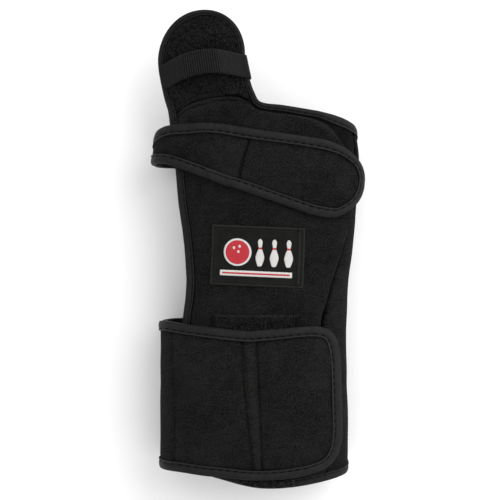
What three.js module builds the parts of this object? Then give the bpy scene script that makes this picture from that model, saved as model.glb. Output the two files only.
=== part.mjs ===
// A right-hand bowling wrist glove, lying on its palm panel: millimetres, +Z up, +Y to the tab
import * as THREE from 'three';

// The hollow that the hand and forearm fill
const CUFF_WIDTH = 106.8;
const CUFF_HOLLOW = 40.4;
const WRIST_WIDTH = 109.2;
const WRIST_HOLLOW = 35.6;
const PALM_WIDTH = 119.6;
const PALM_HOLLOW = 37;
const HAND_LENGTH = 229.4;
const CUFF_DIP = 9.6;

// The finger tab beyond the knuckle edge
const TAB_LENGTH = 55.5;
const TAB_WIDTH = 51.2;
const TAB_TIP = 28.4;
const TAB_OFFSET = -32.3;
const TAB_SKEW = 1.7;

// Cloth, foam and tape
const GAP = 0.3;
const TAPE_GAP = 0.5;
const LAYER_GAP = 0.8;
const TAPE = 0.4;
const PANEL = 2;
const PAD = 1.6;
const STRAP = 1.6;
const BINDING_WIDTH = 4.7;
const TAB_BINDING_WIDTH = 3;
const KNUCKLE_BINDING_WIDTH = 3.4;
const STRAP_BINDING_WIDTH = 5.5;
const LINING = 0.7;

// Straps, elastic and patches
const PALM_STRAP_WIDTH = 46;
const CUFF_STRAP_WIDTH = 88.8;
const SIDE_LIFT = -0.4;
const ELASTIC_WIDTH = 14;
const ELASTIC_THICK = 1.1;
const ELASTIC_RISE = 7.5;
const ELASTIC_TURN = 8;
const LABEL_WIDTH = 54.5;
const LABEL_LENGTH = 36;
const LABEL_THICK = 0.9;
const LOOP_WIDTH = 51;
const LOOP_THICK = 1.2;
const LABEL_SHIFT = 1.2;
const LOOP_SHIFT = 0.8;
const ARCH_RISE = 6.2;

// Depths out from the hollow
const EDGE_SET_BACK = TAPE + TAPE_GAP;
const PANEL_INNER = EDGE_SET_BACK;
const PANEL_OUTER = PANEL_INNER + PANEL;
const BOUND = PANEL_OUTER + EDGE_SET_BACK;
const PAD_INNER = PANEL_OUTER + LAYER_GAP;
const PAD_OUTER = PAD_INNER + PAD;
const PATCH_INNER = PAD_OUTER + GAP;
const LINING_INNER = PANEL_OUTER + GAP;
const LINING_OUTER = LINING_INNER + LINING;
const STRAP_BOUND = STRAP + 2 * EDGE_SET_BACK;

// Roundness of the section: superellipse powers over and under, and where its widest line lies
const TOP_POWER = 2.6;
const UNDER_POWER = 3.4;
const WIDEST = 0.47;
const FLATTEN = 1.06;
const SECTION_STEPS = 180;

const onHand = (share) => share * HAND_LENGTH;
const onTab = (share) => HAND_LENGTH + share * TAB_LENGTH;

// Cross-sections of the hollow along the glove
const SECTIONS = [
  { up: onHand(-0.035), width: 0.99 * CUFF_WIDTH, shift: -0.01 * PALM_WIDTH, hollow: 0.975 * CUFF_HOLLOW },
  { up: onHand(0.095), width: 1.011 * CUFF_WIDTH, shift: -0.006 * PALM_WIDTH, hollow: CUFF_HOLLOW },
  { up: onHand(0.357), width: CUFF_WIDTH, shift: -0.01 * PALM_WIDTH, hollow: 0.975 * CUFF_HOLLOW },
  { up: onHand(0.444), width: 0.985 * WRIST_WIDTH, shift: -0.01 * PALM_WIDTH, hollow: 1.055 * WRIST_HOLLOW },
  { up: onHand(0.54), width: WRIST_WIDTH, shift: -0.007 * PALM_WIDTH, hollow: 1.005 * WRIST_HOLLOW },
  { up: onHand(0.619), width: 1.03 * WRIST_WIDTH, shift: 0, hollow: 0.995 * WRIST_HOLLOW },
  { up: onHand(0.706), width: 0.963 * PALM_WIDTH, shift: 0.002 * PALM_WIDTH, hollow: 0.968 * PALM_HOLLOW },
  { up: onHand(0.784), width: 0.987 * PALM_WIDTH, shift: 0.002 * PALM_WIDTH, hollow: 0.99 * PALM_HOLLOW },
  { up: onHand(0.863), width: PALM_WIDTH, shift: 0.003 * PALM_WIDTH, hollow: PALM_HOLLOW },
  { up: onHand(0.924), width: 0.97 * PALM_WIDTH, shift: 0.005 * PALM_WIDTH, hollow: PALM_HOLLOW },
  { up: onHand(0.985), width: 0.96 * PALM_WIDTH, shift: -0.004 * PALM_WIDTH, hollow: 0.995 * PALM_HOLLOW },
  { up: onTab(0.225), width: 1.053 * PALM_WIDTH, shift: -0.025 * PALM_WIDTH, hollow: PALM_HOLLOW },
  { up: onTab(0.588), width: 1.27 * PALM_WIDTH, shift: -0.05 * PALM_WIDTH, hollow: 1.035 * PALM_HOLLOW },
  { up: onTab(1.13), width: 1.4 * PALM_WIDTH, shift: -0.067 * PALM_WIDTH, hollow: 1.09 * PALM_HOLLOW },
];

// The rim of the wrap: round is a share of the girth from the middle of the front, up a place along the hand
const LEFT_EDGE = [
  { round: -0.178, up: onHand(0.1) },
  { round: -0.175, up: onHand(0.18) },
  { round: -0.172, up: onHand(0.26) },
  { round: -0.169, up: onHand(0.35) },
  { round: -0.1656, up: onHand(0.434) },
  { round: -0.1592, up: onHand(0.492) },
  { round: -0.1572, up: onHand(0.54) },
  { round: -0.1617, up: onHand(0.619) },
  { round: -0.165, up: onHand(0.666) },
  { round: -0.1715, up: onHand(0.745) },
  { round: -0.1734, up: onHand(0.828) },
  { round: -0.1825, up: onHand(0.894) },
  { round: -0.188, up: onHand(0.922) },
  { round: -0.1925, up: onHand(0.944) },
  { round: -0.1938, up: onHand(0.983) },
];
const TAB_SIDES = [
  { left: -0.416, right: 0.637, up: onTab(0.065) },
  { left: -0.437, right: 0.59, up: onTab(0.146) },
  { left: -0.464, right: 0.556, up: onTab(0.245) },
  { left: -0.492, right: 0.525, up: onTab(0.371) },
];
const TIP_STEPS = 7;
const TIP_POWER = 2.08;
const KNUCKLE_EDGE = [
  { round: 0.0045, up: onHand(1.012) },
  { round: 0.0123, up: onHand(1.0025) },
  { round: 0.0295, up: onHand(0.9985) },
  { round: 0.0556, up: onHand(0.9965) },
  { round: 0.0992, up: onHand(0.9885) },
  { round: 0.1433, up: onHand(0.9805) },
  { round: 0.1769, up: onHand(0.9715) },
  { round: 0.2003, up: onHand(0.963) },
  { round: 0.2218, up: onHand(0.952) },
];
const FRONT_SEAM = [
  { round: 0.163, up: onHand(0.1) },
  { round: 0.155, up: onHand(0.26) },
  { round: 0.1543, up: onHand(0.43) },
  { round: 0.1749, up: onHand(0.513) },
  { round: 0.1883, up: onHand(0.58) },
  { round: 0.2088, up: onHand(0.679) },
  { round: 0.2167, up: onHand(0.72) },
  { round: 0.2215, up: onHand(0.8) },
  { round: 0.2218, up: onHand(0.952) },
];
const UNDER_SEAM = 0.36;
const PALM_EDGE = 0.64;
const UNDER_KNUCKLE = onHand(0.915);
const PALM_KNUCKLE = onHand(0.907);
const DIP_MIDDLE = 0.034;
const DIP_LEFT = 0.2;
const DIP_RIGHT = 0.3;

// The front pad's upper edge and the tab lining's lower rows
const PAD_TOP_EDGE = [
  { leftUp: onHand(0.898), right: 0.185, up: onHand(0.898) },
  { leftUp: onHand(0.914), right: 0.1734, up: onHand(0.919) },
  { leftUp: onHand(0.93), right: 0.1639, up: onHand(0.936) },
  { leftUp: onHand(0.94), right: 0.1501, up: onHand(0.949) },
  { leftUp: onHand(0.949), right: 0.1294, up: onHand(0.959) },
  { leftUp: onHand(0.957), right: 0.0973, up: onHand(0.967) },
  { leftUp: onHand(0.963), right: 0.043, up: onHand(0.974) },
  { leftUp: onHand(0.968), right: 0.0085, up: onHand(0.979) },
  { leftUp: onHand(0.973), right: -0.012, up: onHand(1.002) },
];
const LINING_ROWS = [
  { leftUp: onHand(0.978), rightUp: onHand(1.007), arched: 1 },
  { leftUp: onTab(0.05), rightUp: onTab(0.1), arched: 0.6 },
  { leftUp: onTab(0.2), rightUp: onTab(0.2), arched: 0 },
];

// The finger elastic: across is a share of the tab's width, rise of the arch, slant of the tab's edge
const ELASTIC_ROWS = [
  { across: -0.445, up: onTab(0.29), rise: 0, slant: 1 },
  { across: -0.4, up: onTab(0.3), rise: 0.02, slant: 0.9 },
  { across: -0.33, up: onTab(0.33), rise: 0.22, slant: 0.5 },
  { across: -0.24, up: onTab(0.365), rise: 0.58, slant: 0.1 },
  { across: -0.14, up: onTab(0.395), rise: 0.84, slant: 0 },
  { across: -0.04, up: onTab(0.418), rise: 0.97, slant: 0 },
  { across: 0.06, up: onTab(0.432), rise: 1, slant: 0 },
  { across: 0.16, up: onTab(0.435), rise: 0.93, slant: 0 },
  { across: 0.26, up: onTab(0.428), rise: 0.72, slant: 0.2 },
  { across: 0.35, up: onTab(0.417), rise: 0.42, slant: 0.6 },
  { across: 0.43, up: onTab(0.405), rise: 0.15, slant: 0.9 },
  { across: 0.48, up: onTab(0.397), rise: 0.02, slant: 1 },
];

// Patches on the pad, up from the cuff edge
const LABEL_UP = onHand(0.602);
const LOOP_TOP = onHand(0.45);

// The straps round the glove: low and high are shares of the strap's width from its middle line
const PALM_STRAP_UP = onHand(0.811);
const PALM_STRAP_ROWS = [
  { round: -0.36, low: 0.16, high: 0.43 },
  { round: -0.33, low: 0.16, high: 0.435 },
  { round: -0.305, low: 0.16, high: 0.44 },
  { round: -0.287, low: 0.16, high: 0.45 },
  { round: -0.269, low: 0.16, high: 0.46 },
  { round: -0.251, low: 0.162, high: 0.48 },
  { round: -0.233, low: 0.17, high: 0.515 },
  { round: -0.215, low: 0.182, high: 0.57 },
  { round: -0.198, low: 0.182, high: 0.62 },
  { round: -0.182, low: 0.163, high: 0.661 },
  { round: -0.15, low: 0.085, high: 0.667 },
  { round: -0.115, low: 0, high: 0.68 },
  { round: -0.073, low: -0.098, high: 0.663 },
  { round: -0.03, low: -0.185, high: 0.615 },
  { round: 0.01, low: -0.27, high: 0.578 },
  { round: 0.05, low: -0.35, high: 0.546 },
  { round: 0.09, low: -0.433, high: 0.513 },
  { round: 0.12, low: -0.498, high: 0.487 },
  { round: 0.145, low: -0.53, high: 0.463 },
  { round: 0.168, low: -0.535, high: 0.409 },
  { round: 0.183, low: -0.496, high: 0.361 },
  { round: 0.196, low: -0.437, high: 0.296 },
  { round: 0.208, low: -0.365, high: 0.215 },
  { round: 0.2165, low: -0.272, high: 0.122 },
  { round: 0.2225, low: -0.152, high: 0.011 },
];
const CUFF_STRAP_UP = onHand(0.2415);
const CUFF_STRAP_ROWS = [
  { round: -0.36, low: -0.505, high: 0.49 },
  { round: -0.33, low: -0.505, high: 0.49 },
  { round: -0.305, low: -0.505, high: 0.49 },
  { round: -0.287, low: -0.505, high: 0.487 },
  { round: -0.269, low: -0.505, high: 0.484 },
  { round: -0.251, low: -0.505, high: 0.482 },
  { round: -0.233, low: -0.505, high: 0.483 },
  { round: -0.215, low: -0.505, high: 0.488 },
  { round: -0.2, low: -0.509, high: 0.492 },
  { round: -0.187, low: -0.509, high: 0.49 },
  { round: -0.165, low: -0.509, high: 0.48 },
  { round: -0.141, low: -0.515, high: 0.469 },
  { round: -0.118, low: -0.523, high: 0.461 },
  { round: -0.096, low: -0.529, high: 0.454 },
  { round: -0.054, low: -0.538, high: 0.44 },
  { round: -0.012, low: -0.55, high: 0.429 },
  { round: 0.036, low: -0.551, high: 0.44 },
  { round: 0.072, low: -0.544, high: 0.448 },
  { round: 0.108, low: -0.526, high: 0.459 },
  { round: 0.136, low: -0.503, high: 0.462 },
  { round: 0.157, low: -0.477, high: 0.451 },
  { round: 0.172, low: -0.435, high: 0.42 },
  { round: 0.1805, low: -0.385, high: 0.375 },
  { round: 0.1862, low: -0.315, high: 0.3 },
  { round: 0.1882, low: -0.23, high: 0.2 },
];

// How far each strap stands out from the hollow as it goes round
const UNDER_LIFT = BOUND - STRAP_BOUND;
const EDGE_LIFT = BOUND + LAYER_GAP;
const PAD_LIFT = PAD_OUTER + LAYER_GAP;
const LOOP_LIFT = PATCH_INNER + LOOP_THICK + LAYER_GAP;
const PALM_STRAP_LIFT = [
  { round: -0.37, lift: UNDER_LIFT },
  { round: -0.3, lift: UNDER_LIFT },
  { round: -0.25, lift: SIDE_LIFT },
  { round: -0.208, lift: EDGE_LIFT },
  { round: -0.182, lift: PAD_LIFT },
  { round: 0.24, lift: PAD_LIFT },
];
const CUFF_STRAP_LIFT = [
  { round: -0.37, lift: UNDER_LIFT },
  { round: -0.3, lift: UNDER_LIFT },
  { round: -0.25, lift: SIDE_LIFT },
  { round: -0.195, lift: EDGE_LIFT },
  { round: -0.17, lift: PAD_LIFT },
  { round: -0.118, lift: LOOP_LIFT },
  { round: 0.136, lift: LOOP_LIFT },
  { round: 0.172, lift: PAD_LIFT },
  { round: 0.2, lift: PAD_LIFT },
];

// Straight reading between the rows of a table
function read(rows, key, at, column) {
  let i = 0;
  while (i < rows.length - 2 && rows[i + 1][key] < at) i++;
  const share = THREE.MathUtils.clamp((at - rows[i][key]) / (rows[i + 1][key] - rows[i][key]), 0, 1);
  return THREE.MathUtils.lerp(rows[i][column], rows[i + 1][column], share);
}

// Smooth reading through the rows of a table
function flow(rows, key, at, column) {
  const last = rows.length - 1;
  let i = 0;
  while (i < last - 1 && rows[i + 1][key] < at) i++;
  const slope = (k) => {
    const a = rows[Math.max(k - 1, 0)];
    const b = rows[Math.min(k + 1, last)];
    return (b[column] - a[column]) / (b[key] - a[key]);
  };
  const step = rows[i + 1][key] - rows[i][key];
  const t = THREE.MathUtils.clamp((at - rows[i][key]) / step, 0, 1);
  const t2 = t * t;
  const t3 = t2 * t;
  return (2 * t3 - 3 * t2 + 1) * rows[i][column] + (t3 - 2 * t2 + t) * step * slope(i)
    + (3 * t2 - 2 * t3) * rows[i + 1][column] + (t3 - t2) * step * slope(i + 1);
}

// One cross-section of the hollow, from the middle of the underside up the left side and round
const sections = new Map();
function sectionAt(y) {
  const key = Math.round(y * 1000);
  if (sections.has(key)) return sections.get(key);
  const half = flow(SECTIONS, 'up', y, 'width') / 2;
  const middle = flow(SECTIONS, 'up', y, 'shift');
  const hollow = flow(SECTIONS, 'up', y, 'hollow');
  const widest = BOUND + WIDEST * hollow;
  const x = [];
  const z = [];
  const way = [];
  for (let i = 0; i <= SECTION_STEPS; i++) {
    const angle = (i / SECTION_STEPS - 0.5) * 2 * Math.PI;
    const across = Math.sin(angle);
    const rise = Math.cos(angle);
    const power = 2 / (rise >= 0 ? TOP_POWER : UNDER_POWER);
    x.push(middle + half * Math.sign(across) * Math.abs(across) ** power);
    const lifted = Math.abs(rise) ** power;
    const under = widest - FLATTEN * WIDEST * hollow * lifted;
    z.push(rise >= 0 ? widest + (1 - WIDEST) * hollow * lifted : Math.max(BOUND, under));
    way.push(i ? way[i - 1] + Math.hypot(x[i] - x[i - 1], z[i] - z[i - 1]) : 0);
  }
  const top = way[SECTION_STEPS / 2];
  const section = { x, z, way: way.map((w) => w - top), girth: way[SECTION_STEPS] };
  sections.set(key, section);
  return section;
}
const girthAt = (y) => sectionAt(y).girth;

// A place on the section, s millimetres round from the middle of the front
function onSection(section, s) {
  const { x, z, way, girth } = section;
  const low = way[0];
  const round = low + ((((s - low) % girth) + girth) % girth);
  let a = 0;
  let b = way.length - 1;
  while (b - a > 1) {
    const m = (a + b) >> 1;
    if (way[m] <= round) a = m;
    else b = m;
  }
  const t = (round - way[a]) / (way[b] - way[a]);
  return { x: x[a] + t * (x[b] - x[a]), z: z[a] + t * (z[b] - z[a]) };
}

// The same place, moved out from the hollow by a depth
function place(s, y, depth) {
  const section = sectionAt(y);
  const at = onSection(section, s);
  const reach = section.girth / SECTION_STEPS / 2;
  const before = onSection(section, s - reach);
  const after = onSection(section, s + reach);
  const run = Math.hypot(after.x - before.x, after.z - before.z);
  const outX = -(after.z - before.z) / run;
  const outZ = (after.x - before.x) / run;
  return new THREE.Vector3(at.x + depth * outX, y, at.z + depth * outZ);
}

// Where a vertical line at x meets the front of the section
function roundAtX(x, y) {
  const section = sectionAt(y);
  let i = SECTION_STEPS / 4;
  while (section.x[i + 1] < x) i++;
  const t = (x - section.x[i]) / (section.x[i + 1] - section.x[i]);
  return THREE.MathUtils.lerp(section.way[i], section.way[i + 1], t);
}

const spot = (round, y, tape = BINDING_WIDTH) => ({ s: round * girthAt(y), y, tape });
const mix = (a, b, t) => ({
  s: THREE.MathUtils.lerp(a.s, b.s, t),
  y: THREE.MathUtils.lerp(a.y, b.y, t),
  tape: THREE.MathUtils.lerp(a.tape, b.tape, t),
});
const shares = (count) => Array.from({ length: count + 1 }, (_, i) => i / count);

// The cuff edge dips towards the elbow at the middle of the front
function cuffEdge(round) {
  const away = (round - DIP_MIDDLE) / (round < DIP_MIDDLE ? DIP_LEFT : DIP_RIGHT);
  return (CUFF_DIP / 2) * (1 - Math.cos(Math.PI * Math.min(1, Math.abs(away))));
}

// Joins equal loops of points into one closed solid, facing out
function skin(loops, closed, cap) {
  const size = loops[0].length;
  const corners = [];
  const count = closed ? loops.length : loops.length - 1;
  for (let i = 0; i < count; i++) {
    const here = i * size;
    const next = ((i + 1) % loops.length) * size;
    for (let j = 0; j < size; j++) {
      const k = (j + 1) % size;
      corners.push(here + j, here + k, next + j, here + k, next + k, next + j);
    }
  }
  if (!closed) {
    const end = (loops.length - 1) * size;
    for (const [a, b, c] of cap) corners.push(a, c, b, end + a, end + b, end + c);
  }
  const points = loops.flat();
  let volume = 0;
  const cross = new THREE.Vector3();
  for (let i = 0; i < corners.length; i += 3) {
    const [a, b, c] = corners.slice(i, i + 3).map((n) => points[n]);
    volume += a.dot(cross.crossVectors(b, c));
  }
  if (volume < 0) corners.reverse();
  const geometry = new THREE.BufferGeometry();
  const numbers = points.flatMap((p) => p.toArray());
  geometry.setAttribute('position', new THREE.Float32BufferAttribute(numbers, 3));
  geometry.setIndex(corners);
  geometry.computeVertexNormals();
  return geometry;
}

// A sheet of cloth over the form: rows of spots, with inner and outer depths
function sheet(rows, inner, outer) {
  const columns = rows[0].length;
  const depth = (value, at, i, j) => (typeof value === 'function' ? value(at, i, j) : value);
  const loops = rows.map((row, i) => [
    ...row.map((at, j) => place(at.s, at.y, depth(outer, at, i, j))),
    ...row.map((at, j) => place(at.s, at.y, depth(inner, at, i, j))).reverse(),
  ]);
  const cap = [];
  for (let j = 0; j < columns - 1; j++) {
    const under = 2 * columns - 1 - j;
    cap.push([j, j + 1, under], [j + 1, under - 1, under]);
  }
  return skin(loops, false, cap);
}

// Moves a line of spots in from an edge, w millimetres along the cloth
function inset(line, w, closed) {
  const last = line.length - 1;
  const along = (a, b) => new THREE.Vector2(b.s - a.s, b.y - a.y).normalize();
  return line.map((at, i) => {
    const before = i > 0 ? line[i - 1] : line[last];
    const after = i < last ? line[i + 1] : line[0];
    const into = closed || i > 0 ? along(before, at) : along(at, after);
    const out = closed || i < last ? along(at, after) : into;
    const distance = typeof w === 'function' ? w(at) : w;
    const scale = distance / (1 + into.dot(out));
    return { s: at.s + scale * (into.y + out.y), y: at.y - scale * (into.x + out.x), tape: at.tape };
  });
}

// Binding tape folded over an edge: a channel open towards the cloth
function binding(line, lift, height, closed) {
  const legs = [
    [() => TAPE, 0], [(at) => at.tape, 0], [(at) => at.tape, TAPE], [() => TAPE, TAPE],
    [() => TAPE, height - TAPE], [(at) => at.tape, height - TAPE], [(at) => at.tape, height],
    [() => TAPE, height], [() => 0, height - TAPE], [() => 0, TAPE],
  ];
  const lines = legs.map(([w]) => inset(line, w, closed));
  const loops = line.map((_, i) => legs.map(([, depth], j) => {
    const at = lines[j][i];
    return place(at.s, at.y, lift(at) + depth);
  }));
  const cap = [
    [0, 1, 2], [0, 2, 3], [0, 3, 9], [3, 4, 9], [9, 4, 8], [4, 7, 8], [4, 5, 7], [5, 6, 7],
  ];
  return skin(loops, closed, cap);
}

// Rows between two lines of spots, with one narrow column inside each edge
function between(left, right, columns, margin) {
  return left.map((a, i) => {
    const b = right[i];
    const edge = Math.min(0.25, margin / Math.hypot(b.s - a.s, b.y - a.y));
    const inner = shares(columns - 2).map((t) => THREE.MathUtils.lerp(edge, 1 - edge, t));
    return [0, ...inner, 1].map((t) => mix(a, b, t));
  });
}

// The rim, once round: left edge, tab, knuckle edge, underside, cuff edge
const knuckleEdge = KNUCKLE_EDGE.map((row) => spot(row.round, row.up, KNUCKLE_BINDING_WIDTH));
const shoulder = LEFT_EDGE.slice(-2).map((row) => spot(row.round, row.up));
const leftEdge = [spot(LEFT_EDGE[0].round, cuffEdge(LEFT_EDGE[0].round)),
  ...LEFT_EDGE.slice(0, -1).map((row) => spot(row.round, row.up)),
  ...shares(knuckleEdge.length - 1).slice(1).map((t) => mix(...shoulder, t))];
const tabSpot = (x, y) => ({ s: roundAtX(TAB_OFFSET + x, y), y, tape: TAB_BINDING_WIDTH });
const tipY = HAND_LENGTH + TAB_LENGTH - TAB_TIP;
const bowed = (value) => Math.sign(value) * Math.abs(value) ** (2 / TIP_POWER);
const tipSpot = (angle) => tabSpot((TAB_WIDTH / 2) * bowed(Math.cos(angle)) + TAB_SKEW * Math.sin(angle),
  tipY + TAB_TIP * bowed(Math.sin(angle)));
const tabLeft = [...TAB_SIDES.map((row) => tabSpot(row.left * TAB_WIDTH, row.up)),
  ...shares(TIP_STEPS).slice(0, -1).map((t) => tipSpot(Math.PI * (1 - t / 2)))];
const tabRight = [...TAB_SIDES.map((row) => tabSpot(row.right * TAB_WIDTH, row.up)),
  ...shares(TIP_STEPS).slice(0, -1).map((t) => tipSpot((Math.PI * t) / 2))];
const seamTop = knuckleEdge[knuckleEdge.length - 1];
const topRow = KNUCKLE_EDGE[KNUCKLE_EDGE.length - 1];
const SIDE_COLUMNS = shares(10);
const PALM_COLUMNS = shares(8);
const taped = (length, count) => {
  const near = (BINDING_WIDTH + 2 * GAP) / length;
  const full = 2 * near;
  return [0, near, ...shares(count).map((t) => THREE.MathUtils.lerp(full, 1 - full, t)), 1 - near, 1];
};
const PANEL_ROWS = taped(PALM_KNUCKLE - CUFF_DIP, 10);
const sideRound = (from, t) => THREE.MathUtils.lerp(from, UNDER_SEAM, t);
const sideHead = (t) => THREE.MathUtils.lerp(topRow.up, UNDER_KNUCKLE, Math.sin((t * Math.PI) / 2));
const sideTop = SIDE_COLUMNS.map((t) => spot(sideRound(topRow.round, t), sideHead(t)));
const palmRound = (t) => THREE.MathUtils.lerp(UNDER_SEAM, PALM_EDGE, t);
const palmHead = (t) => THREE.MathUtils.lerp(UNDER_KNUCKLE, PALM_KNUCKLE, t);
const palmTop = PALM_COLUMNS.map((t) => spot(palmRound(t), palmHead(t)));
const palmLeft = PANEL_ROWS.map((t) => spot(PALM_EDGE, THREE.MathUtils.lerp(PALM_KNUCKLE, CUFF_DIP, t)));
const cuffSpot = (round) => spot(round, cuffEdge(round));
const palmFoot = [...PALM_COLUMNS].reverse().map((t) => cuffSpot(palmRound(t)));
const sideFoot = [...SIDE_COLUMNS].reverse().map((t) => cuffSpot(sideRound(FRONT_SEAM[0].round, t)));
const FRONT_COLUMNS = shares(14);
const frontFoot = [...FRONT_COLUMNS].reverse()
  .map((t) => cuffSpot(THREE.MathUtils.lerp(LEFT_EDGE[0].round, FRONT_SEAM[0].round, t)));
const rim = [
  ...leftEdge, ...tabLeft, tipSpot(Math.PI / 2), ...[...tabRight].reverse(), ...knuckleEdge,
  ...sideTop.slice(1), ...palmTop.slice(1), ...palmLeft.slice(1), ...palmFoot.slice(1),
  ...sideFoot.slice(1), ...frontFoot.slice(1, -1),
];

const pieces = {};
const colours = {};
function piece(name, geometry, colour, roughness) {
  pieces[name] = geometry;
  colours[name] = { color: colour, roughness, metalness: 0 };
}

// Each edge of a panel follows the rim, set back inside its tape
const clothRim = inset(rim, EDGE_SET_BACK, true);
const padRim = inset(rim, (at) => at.tape + 2 * GAP, true);
const rimStart = {
  tabRight: leftEdge.length + tabLeft.length + 1,
  knuckle: leftEdge.length + tabLeft.length + 1 + tabRight.length,
};
const seamRound = (y) => read(FRONT_SEAM, 'up', y, 'round');
const seamSpot = (y, side) => {
  const at = spot(seamRound(y), y);
  return { ...at, s: at.s + (side * GAP) / 2 };
};

// Bends the rows next to the cuff edge to its dip
function dipped(rows, foot, fade) {
  return rows.map((row, i) => row.map((at) => {
    if (i > fade) return at;
    const round = at.s / girthAt(at.y);
    const y = THREE.MathUtils.lerp(foot(round), at.y, i / (fade + 1));
    return { ...at, y: i === 0 ? foot(round) : y, s: round * girthAt(i === 0 ? foot(round) : y) };
  }));
}
const clothFoot = (round) => cuffEdge(round) + EDGE_SET_BACK;
const FOOT_FADE = 2;

// The front panel runs from the cuff to the tip of the tab
const frontLeft = clothRim.slice(0, leftEdge.length + tabLeft.length);
const rightOfRow = frontLeft.map((at, i) => {
  const fromTop = frontLeft.length - 1 - i;
  if (fromTop < tabRight.length) return clothRim[rimStart.tabRight + fromTop];
  const onKnuckle = fromTop - tabRight.length;
  if (onKnuckle < knuckleEdge.length - 1) return clothRim[rimStart.knuckle + onKnuckle];
  return seamSpot(at.y, -1);
});
const frontRows = dipped(between(frontLeft, rightOfRow, 13, BINDING_WIDTH + 1), clothFoot, FOOT_FADE);
piece('front_panel', sheet(frontRows, PANEL_INNER, PANEL_OUTER), 0x1b1b1a, 0.95);

// The side panel goes round the right of the hand, the palm panel lies on the ground
const flank = (from, to, head, foot, columns) => PANEL_ROWS.map((t) => columns.map((c) => {
  const y = THREE.MathUtils.lerp(foot(c), head(c) - EDGE_SET_BACK, t);
  return { s: THREE.MathUtils.lerp(from(y), to(y), c), y };
}));
const underSeam = (side) => (y) => UNDER_SEAM * girthAt(y) + (side * GAP) / 2;
const palmEdge = (y) => PALM_EDGE * girthAt(y) - EDGE_SET_BACK;
const sideDip = (c) => clothFoot(sideRound(FRONT_SEAM[0].round, c));
const palmDip = (c) => clothFoot(palmRound(c));
const sideRows = flank((y) => seamSpot(y, 1).s, underSeam(-1), sideHead, sideDip, SIDE_COLUMNS);
piece('side_panel', sheet(sideRows, PANEL_INNER, PANEL_OUTER), 0x191918, 0.95);

const palmSpan = (PALM_EDGE - UNDER_SEAM) * girthAt(onHand(0.5));
const palmColumns = [0, ...taped(palmSpan, 6).slice(2)];
const palmRows = flank(underSeam(1), palmEdge, palmHead, palmDip, palmColumns);
const palmOuter = (at, i, j) => {
  const inside = i > 1 && i < palmRows.length - 2 && j > 0 && j < palmColumns.length - 2;
  return inside ? BOUND : PANEL_OUTER;
};
piece('palm_panel', sheet(palmRows, PANEL_INNER, palmOuter), 0x20201f, 0.85);

piece('edge_binding', binding(rim, () => 0, BOUND, true), 0x303030, 0.6);

// The front pad lies on the front panel, inside the binding, and its upper edge bends round under the tab
const PAD_COLUMNS = 13;
const LINING_COLUMNS = 9;
const leftLine = padRim.slice(0, leftEdge.length + tabLeft.length);
const rightLine = padRim.slice(rimStart.tabRight, rimStart.knuckle + 2).reverse();
const lineAt = (line, y) => ({ s: read(line, 'y', y, 's'), y, tape: TAB_BINDING_WIDTH });
const padFoot = (round) => cuffEdge(round) + BINDING_WIDTH + 2 * GAP;
const padSide = padRim.slice(0, LEFT_EDGE.length - 3);
const padLeft = [...padSide, ...PAD_TOP_EDGE.map((row) => lineAt(leftLine, row.leftUp))];
const padRight = [
  ...padSide.map((at) => seamSpot(at.y, -1)),
  ...PAD_TOP_EDGE.map((row) => spot(row.right, row.up)),
];
const arch = (row, share) => row.map((at, j) => {
  const t = j / (row.length - 1);
  return { ...at, y: at.y + share * ARCH_RISE * Math.sqrt(4 * t * (1 - t)) };
});
const ARCH_ROWS = 3;
const archShare = (i, count) => Math.max(0, (i - count + 1 + ARCH_ROWS) / ARCH_ROWS);
const padRows = dipped(between(padLeft, padRight, PAD_COLUMNS, BINDING_WIDTH), padFoot, FOOT_FADE)
  .map((row, i, all) => arch(row, archShare(i, all.length)));
piece('front_pad', sheet(padRows, PAD_INNER, PAD_OUTER), 0x181817, 0.95);

// The tab is lined with loop cloth, from the pad's arch up to the tape
const lined = LINING_ROWS.map((row) => {
  const ends = [lineAt(leftLine, row.leftUp), lineAt(rightLine, row.rightUp)];
  return arch(shares(LINING_COLUMNS).map((t) => mix(...ends, t)), row.arched);
});
const liningTop = tipY + TAB_TIP - TAB_BINDING_WIDTH - 2 * GAP;
const tip = shares(9).slice(0, -1).map((t) => {
  const y = THREE.MathUtils.lerp(onTab(0.28), liningTop, Math.sin((t * Math.PI) / 2));
  return shares(LINING_COLUMNS).map((c) => mix(lineAt(leftLine, y), lineAt(rightLine, y), c));
});
piece('tab_lining', sheet([...lined, ...tip], LINING_INNER, LINING_OUTER), 0x1b1b1a, 1);

// Patches sewn on the pad
const flat = (middle, width, rows, columns) => rows.map((y) => shares(columns)
  .map((t) => ({ s: middle + (t - 0.5) * width, y })));
const labelRows = shares(3).map((t) => LABEL_UP + (t - 0.5) * LABEL_LENGTH);
const labelSpots = flat(LABEL_SHIFT, LABEL_WIDTH, labelRows, 8);
piece('label_patch', sheet(labelSpots, PATCH_INNER, PATCH_INNER + LABEL_THICK), 0x232522, 0.7);
const loopFoot = (round) => cuffEdge(round) + BINDING_WIDTH + 3 * GAP;
const loopUps = shares(9).map((t) => LOOP_TOP * Math.max(t, 0.04));
const loopRows = dipped(flat(LOOP_SHIFT, LOOP_WIDTH, loopUps, 8), loopFoot, 1);
piece('cuff_loop_patch', sheet(loopRows, PATCH_INNER, PATCH_INNER + LOOP_THICK), 0x1a1a19, 1);

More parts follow.
